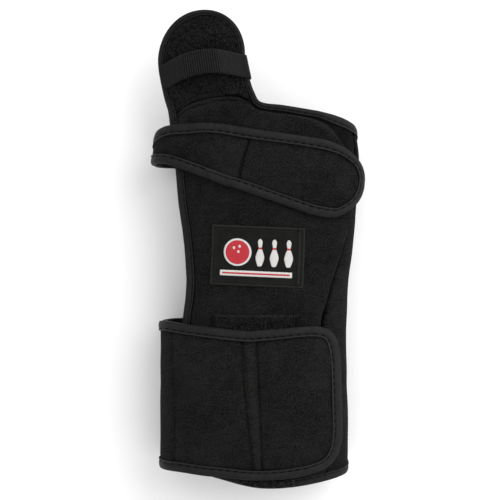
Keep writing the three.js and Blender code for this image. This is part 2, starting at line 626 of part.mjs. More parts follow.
// The finger elastic arches over the tab and turns round its right edge
const elasticBase = BOUND + GAP + ELASTIC_THICK / 2;
const elasticUnder = -2 * GAP - ELASTIC_THICK / 2;
const elasticTurnUp = onTab(0.39);
const elasticEdge = read(tabRight, 'y', elasticTurnUp, 's');
const elasticPath = [
  ...ELASTIC_ROWS.map((row) => ({
    s: roundAtX(TAB_OFFSET + row.across * TAB_WIDTH, row.up),
    y: row.up,
    depth: elasticBase + row.rise * ELASTIC_RISE,
    slant: row.slant,
  })),
  ...[
    { s: elasticEdge + 2 * GAP, depth: elasticBase },
    { s: elasticEdge + 2 * GAP + ELASTIC_THICK / 2, depth: BOUND / 2 },
    { s: elasticEdge + 2 * GAP, depth: elasticUnder },
    { s: elasticEdge - TAB_BINDING_WIDTH, depth: elasticUnder },
    { s: elasticEdge - ELASTIC_TURN, depth: elasticUnder },
  ].map((at) => ({ ...at, y: elasticTurnUp, slant: 1 })),
];
const elasticLoops = elasticPath.map((at, i) => {
  const before = elasticPath[Math.max(i - 1, 0)];
  const after = elasticPath[Math.min(i + 1, elasticPath.length - 1)];
  const run = new THREE.Vector2(after.s - before.s, after.depth - before.depth).normalize();
  const half = ELASTIC_THICK / 2;
  const line = i < elasticPath.length / 3 ? tabLeft : tabRight;
  const corner = (side, width) => {
    const y = at.y + (width * ELASTIC_WIDTH) / 2;
    const slant = at.slant * (read(line, 'y', y, 's') - read(line, 'y', at.y, 's'));
    return place(at.s + slant - side * half * run.y, y, at.depth + side * half * run.x);
  };
  return [corner(1, -1), corner(1, 1), corner(-1, 1), corner(-1, -1)];
});
piece('finger_elastic', skin(elasticLoops, false, [[0, 1, 2], [0, 2, 3]]), 0x1c1d1b, 0.8);

// The straps come round the thumb side from the palm panel's edge and close on the front
function strap(name, rows, up, width, liftRows, endColumns, colour) {
  const ends = (row, side) => {
    const y = up + row[side] * width;
    return { s: row.round * girthAt(y) + (row === rows[0] ? LAYER_GAP : 0), y, tape: STRAP_BINDING_WIDTH };
  };
  const low = rows.map((row) => ends(row, 'low'));
  const high = rows.map((row) => ends(row, 'high'));
  const last = rows.length - 1;
  const end = shares(endColumns).slice(1, -1).map((t) => mix(high[last], low[last], t));
  const edge = [...high, ...end, ...[...low].reverse()];
  const lift = (at) => read(liftRows, 'round', at.s / girthAt(at.y), 'lift');
  const cloth = inset(edge, EDGE_SET_BACK, false);
  const clothHigh = cloth.slice(0, rows.length);
  const clothLow = cloth.slice(-rows.length).reverse();
  const clothRows = between(clothLow, clothHigh, endColumns, STRAP_BINDING_WIDTH);
  const inner = (at) => lift(at) + EDGE_SET_BACK;
  const outer = (at) => inner(at) + STRAP;
  piece(name, sheet(clothRows, inner, outer), colour, 0.92);
  piece(`${name}_binding`, binding(edge, lift, STRAP_BOUND, false), 0x323231, 0.6);
}
strap('palm_strap', PALM_STRAP_ROWS, PALM_STRAP_UP, PALM_STRAP_WIDTH, PALM_STRAP_LIFT, 7, 0x20201f);
strap('cuff_strap', CUFF_STRAP_ROWS, CUFF_STRAP_UP, CUFF_STRAP_WIDTH, CUFF_STRAP_LIFT, 9, 0x1f1f1e);

const group = new THREE.Group();
for (const [name, geometry] of Object.entries(pieces)) {
  const mesh = new THREE.Mesh(geometry, new THREE.MeshStandardMaterial(colours[name]));
  mesh.name = name;
  group.add(mesh);
}

// The origin is on the ground, under the middle of the glove
const box = new THREE.Box3().setFromObject(group, true);
const middle = box.getCenter(new THREE.Vector3());
for (const geometry of Object.values(pieces)) geometry.translate(-middle.x, -middle.y, -box.min.z);
export default group;
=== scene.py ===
# A right-hand bowling wrist glove, lying palm down on a pale table and seen from straight above.
import math

import bmesh
import bpy
import numpy as np
from mathutils import Matrix, Vector


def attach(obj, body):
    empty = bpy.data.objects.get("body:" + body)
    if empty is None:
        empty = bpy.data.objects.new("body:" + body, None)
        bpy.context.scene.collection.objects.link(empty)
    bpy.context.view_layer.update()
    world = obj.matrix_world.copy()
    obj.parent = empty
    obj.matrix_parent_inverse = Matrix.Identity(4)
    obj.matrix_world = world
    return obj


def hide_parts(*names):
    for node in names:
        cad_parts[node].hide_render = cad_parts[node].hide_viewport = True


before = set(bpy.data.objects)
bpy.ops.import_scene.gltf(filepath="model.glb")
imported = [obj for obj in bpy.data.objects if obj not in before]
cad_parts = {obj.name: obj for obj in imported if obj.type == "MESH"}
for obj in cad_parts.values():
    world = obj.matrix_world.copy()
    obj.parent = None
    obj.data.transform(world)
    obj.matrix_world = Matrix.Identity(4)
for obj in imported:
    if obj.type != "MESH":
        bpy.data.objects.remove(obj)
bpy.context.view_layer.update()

MM = 0.001
# The solids' origin, in the glove's own millimetres
ORIGIN = np.array([1.093, 142.457, 0.0])

# Camera: place in the glove's millimetres, height in metres, focal length in pixels
CAMERA_X, CAMERA_Y, CAMERA_HEIGHT = -3.6, 141.9, 0.8
FOCAL_LENGTH, PHOTO_SIDE, SENSOR = 1266.7, 500, 36.0
# Table, sky and lamp, in metres and watts
TABLE_REACH, TABLE_WHITE, SKY_LIGHT = 3.0, 0.93, 1.0
LAMP_AT, LAMP_AIM, LAMP_SIZE, LAMP_POWER = (1.0, 0.8, 1.0), (0, 0, 0.02), 1.8, 22

# Cloth solver
SOLVER_SCALE, SETTLE_FRAMES = 8, 20
SOLVER = {"quality": 6, "tension_stiffness": 25, "compression_stiffness": 25,
          "bending_stiffness": 0.35, "use_pressure": True, "uniform_pressure_force": 4}
STITCH_BATCH = 40

# Sizes of the glove in millimetres, as in the solids where they have them
CUFF_WIDTH, CUFF_HOLLOW = 106.8, 40.4
WRIST_WIDTH, WRIST_HOLLOW = 109.2, 35.6
PALM_WIDTH, PALM_HOLLOW = 119.6, 37.0
HAND_LENGTH, CUFF_DIP = 229.4, 9.6
TAB_LENGTH, TAB_WIDTH, TAB_TIP, TAB_OFFSET = 55.5, 51.2, 28.4, -32.3
TAB_SKEW, TIP_POWER = 1.7, 2.08
GAP, TAPE_GAP, LAYER_GAP, TAPE, PANEL, PAD, STRAP = 0.3, 0.5, 0.8, 0.4, 2.0, 1.6, 1.6
BINDING_WIDTH, TAB_BINDING_WIDTH, KNUCKLE_BINDING_WIDTH, STRAP_BINDING_WIDTH = 4.7, 3.0, 3.4, 5.5
LINING, SIDE_LIFT = 0.7, -0.4
PALM_STRAP_WIDTH, CUFF_STRAP_WIDTH = 46.0, 88.8
ELASTIC_WIDTH, ELASTIC_THICK, ELASTIC_RISE, ELASTIC_TURN = 14.0, 1.1, 7.5, 8.0
LABEL_WIDTH, LABEL_LENGTH, LABEL_THICK, LABEL_SHIFT = 54.5, 36.0, 0.9, 1.2
LOOP_WIDTH, LOOP_THICK, LOOP_SHIFT = 51.0, 1.2, 0.8
LABEL_FOLD, LABEL_SEWN, LABEL_DOUBLE, LOOP_EDGE = 2.6, 1.8, 4.9, 2.7
LABEL_DOUBLE_SEWN, SHELL_SINK = 0.6, 0.2
HEM_RISE, HEM_END, HEM_THICK = 3.0, 0.72, 1.1
RIB_PITCH, RIBS_START, RIBS_END = 1.3, (12.5, 16.5), (36.0, 38.0)
TAPE_LAP, LAP_SLANT = (-31.8, -15.0), 6.0
PAD_FOLD, PAD_SEWN = 2.1, 2.6
PAD_CORNER, LABEL_SLANT, SEAM_TAPE_WIDTH = 207.0, 0.045, 6.0
CORNER_BINDING_WIDTH, STRAP_END_BINDING_WIDTH = 5.4, 3.6
NARROW_FROM, NARROW_OVER = 0.15, 0.06
ARCH_RISE = 6.2
SIDE_RISE, SIDE_REACH, SIDE_CLEAR, SIDE_FADE, SIDE_TOP = 2.0, 9.0, 6.0, 8.0, 128.0
EDGE_SET_BACK = TAPE + TAPE_GAP
TAPE_EDGE = STRAP_BINDING_WIDTH - EDGE_SET_BACK + 0.3
PANEL_INNER = EDGE_SET_BACK
PANEL_OUTER = PANEL_INNER + PANEL
BOUND = PANEL_OUTER + EDGE_SET_BACK
PAD_INNER = PANEL_OUTER + LAYER_GAP
PAD_OUTER = PAD_INNER + PAD
PATCH_INNER = PAD_OUTER + GAP
LINING_INNER = PANEL_OUTER + GAP
LINING_OUTER = LINING_INNER + LINING
STRAP_BOUND = STRAP + 2 * EDGE_SET_BACK
TOP_POWER, UNDER_POWER, WIDEST, FLATTEN = 2.6, 3.4, 0.47, 1.06


def on_hand(share):
    return share * HAND_LENGTH


def on_tab(share):
    return HAND_LENGTH + share * TAB_LENGTH


# Sections of the hollow: place along the glove, share of the width, sideways shift as a share of
# the palm's width, share of the height
CUFF_SECTIONS = [(on_hand(-0.035), 0.99, -0.01, 0.975), (on_hand(0.095), 1.011, -0.006, 1),
                 (on_hand(0.357), 1, -0.01, 0.975)]
WRIST_SECTIONS = [(on_hand(0.444), 0.985, -0.01, 1.055), (on_hand(0.54), 1, -0.007, 1.005),
                  (on_hand(0.619), 1.03, 0, 0.995)]
PALM_SECTIONS = [(on_hand(0.706), 0.963, 0.002, 0.968), (on_hand(0.784), 0.987, 0.002, 0.99),
                 (on_hand(0.863), 1, 0.003, 1), (on_hand(0.924), 0.97, 0.005, 1),
                 (on_hand(0.985), 0.96, -0.004, 0.995), (on_tab(0.225), 1.053, -0.025, 1),
                 (on_tab(0.588), 1.27, -0.05, 1.035), (on_tab(1.13), 1.4, -0.067, 1.09)]
SECTIONS = np.array([
    (up, wide * width, shift * PALM_WIDTH, high * hollow)
    for rows, width, hollow in ((CUFF_SECTIONS, CUFF_WIDTH, CUFF_HOLLOW),
                                (WRIST_SECTIONS, WRIST_WIDTH, WRIST_HOLLOW),
                                (PALM_SECTIONS, PALM_WIDTH, PALM_HOLLOW))
    for up, wide, shift, high in rows])

# The rim: share of the girth round from the middle of the front, and place along the hand
LEFT_EDGE = [(share, on_hand(up)) for share, up in [
    (-0.178, 0.1), (-0.175, 0.18), (-0.172, 0.26), (-0.169, 0.35), (-0.1656, 0.434),
    (-0.1592, 0.492), (-0.1572, 0.54), (-0.1617, 0.619), (-0.165, 0.666), (-0.1715, 0.745),
    (-0.1734, 0.828), (-0.1825, 0.894), (-0.188, 0.922), (-0.1925, 0.944), (-0.1938, 0.983),
]]
# The tab: shares of its width to its left and right sides, and place along
TAB_SIDES = [(-0.416, 0.637, on_tab(0.065)), (-0.437, 0.59, on_tab(0.146)),
             (-0.464, 0.556, on_tab(0.245)), (-0.492, 0.525, on_tab(0.371))]
KNUCKLE_EDGE = [(share, on_hand(up)) for share, up in [
    (0.0045, 1.012), (0.0123, 1.0025), (0.0295, 0.9985), (0.0556, 0.9965), (0.0992, 0.9885),
    (0.1433, 0.9805), (0.1769, 0.9715), (0.2003, 0.963), (0.2218, 0.952),
]]
FRONT_SEAM = [(share, on_hand(up)) for share, up in [
    (0.163, 0.1), (0.155, 0.26), (0.1543, 0.43), (0.1749, 0.513), (0.1883, 0.58),
    (0.2088, 0.679), (0.2167, 0.72), (0.2215, 0.8), (0.2218, 0.952),
]]
UNDER_SEAM, PALM_EDGE = 0.36, 0.64
UNDER_KNUCKLE, PALM_KNUCKLE = on_hand(0.915), on_hand(0.907)
DIP_MIDDLE, DIP_LEFT, DIP_RIGHT = 0.034, 0.2, 0.3

# The front pad's upper rows: place of the left end, then share round and place of the right end
PAD_TOP_EDGE = [(on_hand(left), share, on_hand(right)) for left, share, right in [
    (0.898, 0.185, 0.898), (0.914, 0.1734, 0.919), (0.93, 0.1639, 0.936), (0.94, 0.1501, 0.949),
    (0.949, 0.1294, 0.959), (0.957, 0.0973, 0.967), (0.963, 0.043, 0.974), (0.968, 0.0085, 0.979),
    (0.973, -0.012, 1.002),
]]
# The lining's lower rows: place of the left and the right end, and share of the arch
LINING_ROWS = [(on_hand(0.978), on_hand(1.007), 1), (on_tab(0.05), on_tab(0.1), 0.6),
               (on_tab(0.2), on_tab(0.2), 0)]

# The finger elastic: share of the tab's width across, place along, share of the rise, and how
# far its end runs with the tab's edge
ELASTIC_ROWS = [(share, on_tab(up), rise, slant) for share, up, rise, slant in [
    (-0.445, 0.29, 0, 1), (-0.4, 0.3, 0.02, 0.9), (-0.33, 0.33, 0.22, 0.5),
    (-0.24, 0.365, 0.58, 0.1), (-0.14, 0.395, 0.84, 0), (-0.04, 0.418, 0.97, 0),
    (0.06, 0.432, 1, 0), (0.16, 0.435, 0.93, 0), (0.26, 0.428, 0.72, 0.2),
    (0.35, 0.417, 0.42, 0.6), (0.43, 0.405, 0.15, 0.9), (0.48, 0.397, 0.02, 1),
]]
LABEL_UP, LOOP_TOP = on_hand(0.602), on_hand(0.45)

# The straps: share round, and the low and high edges as shares of the strap's width
PALM_STRAP_UP = on_hand(0.811)
PALM_STRAP_ROWS = [
    (-0.36, 0.16, 0.43), (-0.33, 0.16, 0.435), (-0.305, 0.16, 0.44), (-0.287, 0.16, 0.45),
    (-0.269, 0.16, 0.46), (-0.251, 0.162, 0.48), (-0.233, 0.17, 0.53), (-0.215, 0.182, 0.6),
    (-0.198, 0.182, 0.645), (-0.182, 0.163, 0.664), (-0.15, 0.085, 0.667), (-0.115, 0, 0.68),
    (-0.073, -0.098, 0.663), (-0.03, -0.185, 0.615), (0.01, -0.27, 0.578), (0.05, -0.35, 0.546),
    (0.09, -0.433, 0.513), (0.12, -0.498, 0.487), (0.145, -0.53, 0.463), (0.168, -0.535, 0.409),
    (0.183, -0.496, 0.361), (0.196, -0.437, 0.296), (0.208, -0.365, 0.215),
    (0.2165, -0.272, 0.122), (0.2225, -0.152, 0.011),
]
CUFF_STRAP_UP = on_hand(0.2415)
CUFF_STRAP_ROWS = [
    (-0.36, -0.505, 0.49), (-0.33, -0.505, 0.49), (-0.305, -0.505, 0.49), (-0.287, -0.505, 0.487),
    (-0.269, -0.505, 0.484), (-0.251, -0.505, 0.482), (-0.233, -0.505, 0.483),
    (-0.215, -0.505, 0.488), (-0.2, -0.509, 0.492), (-0.187, -0.509, 0.49),
    (-0.165, -0.509, 0.48), (-0.141, -0.515, 0.469),
    (-0.118, -0.523, 0.461), (-0.096, -0.529, 0.454), (-0.054, -0.538, 0.44),
    (-0.012, -0.55, 0.429), (0.036, -0.551, 0.44), (0.072, -0.544, 0.448), (0.108, -0.526, 0.459),
    (0.136, -0.503, 0.462), (0.157, -0.477, 0.451), (0.172, -0.435, 0.42),
    (0.1805, -0.385, 0.375), (0.1862, -0.315, 0.3), (0.1882, -0.23, 0.2),
]
UNDER_LIFT = BOUND - STRAP_BOUND
EDGE_LIFT = BOUND + LAYER_GAP
PAD_LIFT = PAD_OUTER + LAYER_GAP
LOOP_LIFT = PATCH_INNER + LOOP_THICK + LAYER_GAP
STRAP_START_LIFT = [(-0.37, UNDER_LIFT), (-0.3, UNDER_LIFT), (-0.25, SIDE_LIFT)]
PALM_STRAP_LIFT = [*STRAP_START_LIFT, (-0.208, EDGE_LIFT), (-0.182, PAD_LIFT), (0.24, PAD_LIFT)]
CUFF_STRAP_LIFT = [*STRAP_START_LIFT, (-0.195, EDGE_LIFT), (-0.17, PAD_LIFT), (-0.118, LOOP_LIFT),
                   (0.136, LOOP_LIFT), (0.172, PAD_LIFT), (0.2, PAD_LIFT)]


def flow(keys, values, at):
    """Reads a table smoothly, with a Hermite curve through its rows."""
    keys, values, at = (np.asarray(a, float) for a in (keys, values, at))
    upright = (-1, *[1] * (values.ndim - 1))
    slope = np.gradient(values, keys, axis=0)
    slope[1:-1] = (values[2:] - values[:-2]) / (keys[2:] - keys[:-2]).reshape(upright)
    i = np.clip(np.searchsorted(keys, at) - 1, 0, len(keys) - 2)
    step = (keys[i + 1] - keys[i]).reshape(upright)
    t = np.clip((at - keys[i]).reshape(upright) / step, 0, 1)
    start = (2 * t**3 - 3 * t**2 + 1) * values[i] + (t**3 - 2 * t**2 + t) * step * slope[i]
    return start + (3 * t**2 - 2 * t**3) * values[i + 1] + (t**3 - t**2) * step * slope[i + 1]


class Form:
    """The hand's hollow, and the way from cloth to space.

    s is millimetres round from the middle of the front, y millimetres up from the cuff's edge,
    and depth millimetres out from the hollow.
    """

    LOW, HIGH, COLUMNS, STEPS = -14, 306, 720, 720

    def __init__(self):
        y = np.arange(self.LOW, self.HIGH + 1.0)
        half = flow(SECTIONS[:, 0], SECTIONS[:, 1], y)[:, None] / 2
        middle = flow(SECTIONS[:, 0], SECTIONS[:, 2], y)[:, None]
        hollow = flow(SECTIONS[:, 0], SECTIONS[:, 3], y)[:, None]
        angle = (np.arange(self.STEPS + 1) / self.STEPS - 0.5) * 2 * np.pi
        across, rise = np.sin(angle), np.cos(angle)
        power = 2 / np.where(rise >= 0, TOP_POWER, UNDER_POWER)
        x = middle + half * np.sign(across) * np.abs(across) ** power
        lifted = np.abs(rise) ** power
        widest = BOUND + WIDEST * hollow
        under = np.maximum(BOUND, widest - FLATTEN * WIDEST * hollow * lifted)
        z = np.where(rise >= 0, widest + (1 - WIDEST) * hollow * lifted, under)
        way = np.zeros_like(x)
        way[:, 1:] = np.cumsum(np.hypot(np.diff(x), np.diff(z)), axis=1)
        self.girths = way[:, -1]
        share = np.linspace(0, 1, self.COLUMNS + 1)
        self.x = np.array([np.interp(share, w / w[-1], row) for w, row in zip(way, x)])
        self.z = np.array([np.interp(share, w / w[-1], row) for w, row in zip(way, z)])
        ring_x, ring_z = self.x[:, :-1], self.z[:, :-1]
        run_x = np.roll(ring_x, -2, 1) - np.roll(ring_x, 2, 1)
        run_z = np.roll(ring_z, -2, 1) - np.roll(ring_z, 2, 1)
        run = np.hypot(run_x, run_z)
        close = lambda ring: np.concatenate([ring, ring[:, :1]], axis=1)
        self.out_x, self.out_z = close(-run_z / run), close(run_x / run)

    def girth(self, y):
        return np.interp(y, np.arange(self.LOW, self.HIGH + 1.0), self.girths)

    def share(self, s, y):
        return s / self.girth(y)

    def place(self, s, y, depth):
        """Points in metres, in the frame of the solids."""
        s, y, depth = np.broadcast_arrays(*(np.asarray(a, float) for a in (s, y, depth)))
        row = np.clip(y - self.LOW, 0, len(self.girths) - 1.001)
        column = ((self.share(s, y) + 0.5) % 1.0) * self.COLUMNS
        i, j = row.astype(int), column.astype(int)
        a, b = row - i, column - j

        def read(table):
            near = table[i, j] * (1 - b) + table[i, j + 1] * b
            far = table[i + 1, j] * (1 - b) + table[i + 1, j + 1] * b
            return near * (1 - a) + far * a

        point = [read(self.x) + depth * read(self.out_x), y,
                 read(self.z) + depth * read(self.out_z)]
        return (np.stack(point, -1) - ORIGIN) * MM

    def out(self, s, y):
        """The direction straight out of the cloth."""
        return (self.place(s, y, 1.0) - self.place(s, y, 0.0)) / MM

    def round_at(self, x, y):
        """How far round a point straight above x lies on the front."""
        row = int(np.clip(round(y - self.LOW), 0, len(self.girths) - 1))
        quarter = self.COLUMNS // 4
        share = np.linspace(-0.25, 0.25, 2 * quarter + 1)
        return np.interp(x, self.x[row, quarter:3 * quarter + 1], share) * self.girths[row]


form = Form()


def spot(share, y, tape=BINDING_WIDTH):
    return np.array([share * form.girth(y), y, tape])


def shares(count):
    return np.linspace(0, 1, count + 1)


def mix(a, b, t):
    return a + (b - a) * t


def cuff_edge(share):
    away = (share - DIP_MIDDLE) / np.where(share < DIP_MIDDLE, DIP_LEFT, DIP_RIGHT)
    return CUFF_DIP / 2 * (1 - np.cos(np.pi * np.minimum(1, np.abs(away))))


def inset(line, width, closed):
    """Moves a line in from an edge, along the cloth. The cloth is on the line's right."""
    step = np.diff(line[:, :2], axis=0, append=line[:1, :2])
    step /= np.linalg.norm(step, axis=1, keepdims=True) + 1e-9
    if not closed:
        step[-1] = step[-2]
    before = np.roll(step, 1, axis=0)
    if not closed:
        before[0] = step[0]
    total = before + step
    scale = width / (1 + np.sum(before * step, axis=1))
    moved = line.copy()
    moved[:, 0] += scale * total[:, 1]
    moved[:, 1] -= scale * total[:, 0]
    return moved


def between(left, right, columns, margin):
    rows = []
    for a, b in zip(left, right):
        edge = min(0.25, margin / math.hypot(b[0] - a[0], b[1] - a[1]))
        ts = [0, *mix(edge, 1 - edge, shares(columns - 2)), 1]
        rows.append([mix(a, b, t) for t in ts])
    return np.array(rows)


def dipped(rows, foot, fade):
    """Bends the rows next to the cuff edge to its dip."""
    rows = rows.copy()
    for i in range(fade + 1):
        share = rows[i, :, 0] / form.girth(rows[i, :, 1])
        rows[i, :, 1] = mix(foot(share), rows[i, :, 1], i / (fade + 1))
        rows[i, :, 0] = share * form.girth(rows[i, :, 1])
    return rows


def arch(row, share):
    t = shares(len(row) - 1)
    row = row.copy()
    row[:, 1] += share * ARCH_RISE * np.sqrt(4 * t * (1 - t))
    return row


# The rim, once round: left edge, tab, knuckle edge, underside, cuff edge
knuckle_edge = np.array([spot(r, y, KNUCKLE_BINDING_WIDTH) for r, y in KNUCKLE_EDGE])
shoulder = [spot(r, y) for r, y in LEFT_EDGE[-2:]]
left_edge = np.array([spot(LEFT_EDGE[0][0], cuff_edge(LEFT_EDGE[0][0])),
                      *[spot(r, y) for r, y in LEFT_EDGE[:-1]],
                      *[mix(*shoulder, t) for t in shares(len(knuckle_edge) - 1)[1:]]])


def tab_spot(x, y):
    return np.array([form.round_at(TAB_OFFSET + x, y), y, TAB_BINDING_WIDTH])


TIP_UP = HAND_LENGTH + TAB_LENGTH - TAB_TIP
TIP_STEPS = shares(7)[:-1]


def bowed(value):
    return math.copysign(abs(value) ** (2 / TIP_POWER), value)


def tip_spot(angle):
    across, rise = math.cos(angle), math.sin(angle)
    middle = TAB_SKEW * rise
    return tab_spot(TAB_WIDTH / 2 * bowed(across) + middle, TIP_UP + TAB_TIP * bowed(rise))


tab_left = np.array([*[tab_spot(a * TAB_WIDTH, y) for a, _, y in TAB_SIDES],
                     *[tip_spot(math.pi * (1 - t / 2)) for t in TIP_STEPS]])
tab_right = np.array([*[tab_spot(b * TAB_WIDTH, y) for _, b, y in TAB_SIDES],
                      *[tip_spot(math.pi * t / 2) for t in TIP_STEPS]])
SEAM_ROUND, SEAM_UP = np.array(FRONT_SEAM).T


near = (BINDING_WIDTH + 2 * GAP) / (PALM_KNUCKLE - CUFF_DIP)
PANEL_ROWS = np.array([0, near, *mix(2 * near, 1 - 2 * near, shares(10)), 1 - near, 1])
SIDE_COLUMNS, PALM_COLUMNS, FRONT_COLUMNS = shares(10), shares(8), shares(14)
top_round, top_up = KNUCKLE_EDGE[-1]


def side_round(start, t):
    return mix(start, UNDER_SEAM, t)


def palm_round(t):
    return mix(UNDER_SEAM, PALM_EDGE, t)


def side_head(t):
    return mix(top_up, UNDER_KNUCKLE, np.sin(t * np.pi / 2))


def palm_head(t):
    return mix(UNDER_KNUCKLE, PALM_KNUCKLE, t)


def cuff_spot(share):
    return spot(share, cuff_edge(share))


side_top = [spot(side_round(top_round, t), side_head(t)) for t in SIDE_COLUMNS]
palm_top = [spot(palm_round(t), palm_head(t)) for t in PALM_COLUMNS]
palm_left = [spot(PALM_EDGE, mix(PALM_KNUCKLE, CUFF_DIP, t)) for t in PANEL_ROWS]
palm_foot = [cuff_spot(palm_round(t)) for t in PALM_COLUMNS[::-1]]
side_foot = [cuff_spot(side_round(FRONT_SEAM[0][0], t)) for t in SIDE_COLUMNS[::-1]]
front_foot = [cuff_spot(mix(LEFT_EDGE[0][0], FRONT_SEAM[0][0], t)) for t in FRONT_COLUMNS[::-1]]
rim = np.array([*left_edge, *tab_left, tip_spot(math.pi / 2), *tab_right[::-1], *knuckle_edge,
                *side_top[1:], *palm_top[1:], *palm_left[1:], *palm_foot[1:], *side_foot[1:],
                *front_foot[1:-1]])
cloth_rim = inset(rim, EDGE_SET_BACK, True)
pad_rim = inset(rim, rim[:, 2] + 2 * GAP, True)
LEFT_POINTS = len(left_edge) + len(tab_left)
TAB_RIGHT = LEFT_POINTS + 1
KNUCKLE = TAB_RIGHT + len(tab_right)


def seam_spot(y, side):
    at = spot(np.interp(y, SEAM_UP, SEAM_ROUND), y)
    at[0] += side * GAP / 2
    return at


def line_at(line, y):
    return np.array([np.interp(y, line[:, 1], line[:, 0]), y, TAB_BINDING_WIDTH])


def foot_above(*insets):
    """The cuff's edge moved up by so much, at each share round."""
    return lambda share: sum(insets, cuff_edge(share))


# Rows of points across each piece of cloth
cloth_foot = foot_above(EDGE_SET_BACK)
front_left = cloth_rim[:LEFT_POINTS]
upper_right = cloth_rim[TAB_RIGHT:KNUCKLE + len(knuckle_edge) - 1][::-1]
front_right = [*[seam_spot(at[1], -1) for at in front_left[:-len(upper_right)]], *upper_right]
front_rows = dipped(between(front_left, front_right, 13, BINDING_WIDTH + 1), cloth_foot, 2)


def flank(start, end, head, foot, columns):
    rows = []
    for t in PANEL_ROWS:
        ys = [mix(foot(c), head(c) - EDGE_SET_BACK, t) for c in columns]
        rows.append([[mix(start(y), end(y), c), y, 0] for c, y in zip(columns, ys)])
    return np.array(rows)


def under_seam(side):
    return lambda y: UNDER_SEAM * form.girth(y) + side * GAP / 2


side_rows = flank(lambda y: seam_spot(y, 1)[0], under_seam(-1), side_head,
                  lambda c: cloth_foot(side_round(FRONT_SEAM[0][0], c)), SIDE_COLUMNS)
palm_rows = flank(under_seam(1), lambda y: PALM_EDGE * form.girth(y) - EDGE_SET_BACK, palm_head,
                  lambda c: cloth_foot(palm_round(c)), shares(10))

left_line = pad_rim[:LEFT_POINTS]
right_line = pad_rim[TAB_RIGHT:KNUCKLE + 2][::-1]
pad_side = pad_rim[:len(LEFT_EDGE) - 3]
pad_left = [*pad_side, *[line_at(left_line, left) for left, _, _ in PAD_TOP_EDGE]]
pad_right = [*[seam_spot(at[1], -1) for at in pad_side], *[spot(r, y) for _, r, y in PAD_TOP_EDGE]]
pad_rows = between(pad_left, pad_right, 13, BINDING_WIDTH)
pad_rows = dipped(pad_rows, foot_above(BINDING_WIDTH, 2 * GAP), 2)
for i in range(3):
    pad_rows[i - 3] = arch(pad_rows[i - 3], (i + 1) / 3)

lining_top = TIP_UP + TAB_TIP - TAB_BINDING_WIDTH - 2 * GAP
lining_rows = []
for left, right, arched in LINING_ROWS:
    ends = line_at(left_line, left), line_at(right_line, right)
    lining_rows.append(arch(np.array([mix(*ends, t) for t in shares(9)]), arched))
for t in shares(9)[:-1]:
    y = mix(on_tab(0.28), lining_top, math.sin(t * math.pi / 2))
    lining_rows.append([mix(line_at(left_line, y), line_at(right_line, y), c) for c in shares(9)])
lining_rows = np.array(lining_rows)


def flat(middle, width, ups, columns):
    return np.array([[[middle + (t - 0.5) * width, y, 0] for t in shares(columns)] for y in ups])


label_rows = flat(LABEL_SHIFT, LABEL_WIDTH, LABEL_UP + (shares(3) - 0.5) * LABEL_LENGTH, 8)


def askew(rows):
    """The label is sewn on a little aslant."""
    rows = np.array(rows, float)
    rows[..., 1] -= LABEL_SLANT * (rows[..., 0] - LABEL_SHIFT)
    return rows


loop_ups = LOOP_TOP * np.maximum(shares(9), 0.04)
loop_rows = dipped(flat(LOOP_SHIFT, LOOP_WIDTH, loop_ups, 8), foot_above(BINDING_WIDTH, 3 * GAP), 1)


class Strap:
    """A strap's outline and how far it stands out from the hollow."""

    def __init__(self, rows, up, width, lifts, end_columns):
        self.lifts = np.array(lifts)

        def ends(column):
            line = []
            for row in rows:
                y = up + row[column] * width
                start = LAYER_GAP if row is rows[0] else 0
                line.append([row[0] * form.girth(y) + start, y, STRAP_BINDING_WIDTH])
            return np.array(line)

        low, high = ends(1), ends(2)
        end = [mix(high[-1], low[-1], t) for t in shares(end_columns)[1:-1]]
        self.edge = np.array([*high, *end, *low[::-1]])
        cloth = inset(self.edge, EDGE_SET_BACK, False)
        count = len(rows)
        self.rows = between(cloth[-count:][::-1], cloth[:count], end_columns, STRAP_BINDING_WIDTH)

    def lift(self, s, y):
        return np.interp(form.share(s, y), self.lifts[:, 0], self.lifts[:, 1])

    def above(self, *heights):
        """The depth of what lies so much above the strap's base."""
        return lambda s, y: sum(heights, self.lift(s, y))


palm_strap = Strap(PALM_STRAP_ROWS, PALM_STRAP_UP, PALM_STRAP_WIDTH, PALM_STRAP_LIFT, 7)
narrowed = (form.share(*palm_strap.edge[:, :2].T) - NARROW_FROM) / NARROW_OVER
palm_strap.edge[:, 2] = mix(STRAP_BINDING_WIDTH, STRAP_END_BINDING_WIDTH, np.clip(narrowed, 0, 1))
cuff_strap = Strap(CUFF_STRAP_ROWS, CUFF_STRAP_UP, CUFF_STRAP_WIDTH, CUFF_STRAP_LIFT, 9)


# Shader tools
class Signal:
    """A shader socket that can be used in sums."""

    def __init__(self, finish, socket):
        self.finish, self.socket = finish, socket

    def math(self, operation, a, b=None, clamp=False):
        sockets = {0: a} if b is None else {0: a, 1: b}
        settings = {"operation": operation, "use_clamp": clamp}
        return self.finish.node("ShaderNodeMath", settings, sockets)

    def __add__(self, other):
        return self.math("ADD", self, other)

    def __sub__(self, other):
        return self.math("SUBTRACT", self, other)

    def __rsub__(self, other):
        return self.math("SUBTRACT", other, self)

    def __mul__(self, other):
        return self.math("MULTIPLY", self, other)

    def __abs__(self):
        return self.math("ABSOLUTE", self)

    __radd__, __rmul__ = __add__, __mul__

    def larger(self, other):
        return self.math("MAXIMUM", self, other)

    def clamp(self):
        return self.math("ADD", self, 0.0, clamp=True)

    def wave(self, pitch):
        """A wave of so many millimetres, from -1 to 1."""
        return self.math("SINE", self * (2 * math.pi / pitch))

    def within(self, low, high):
        """0 below low, 1 above high, and smooth between."""
        settings = {"interpolation_type": "SMOOTHSTEP"}
        return self.finish.node("ShaderNodeMapRange", settings, {0: self, 1: low, 2: high})


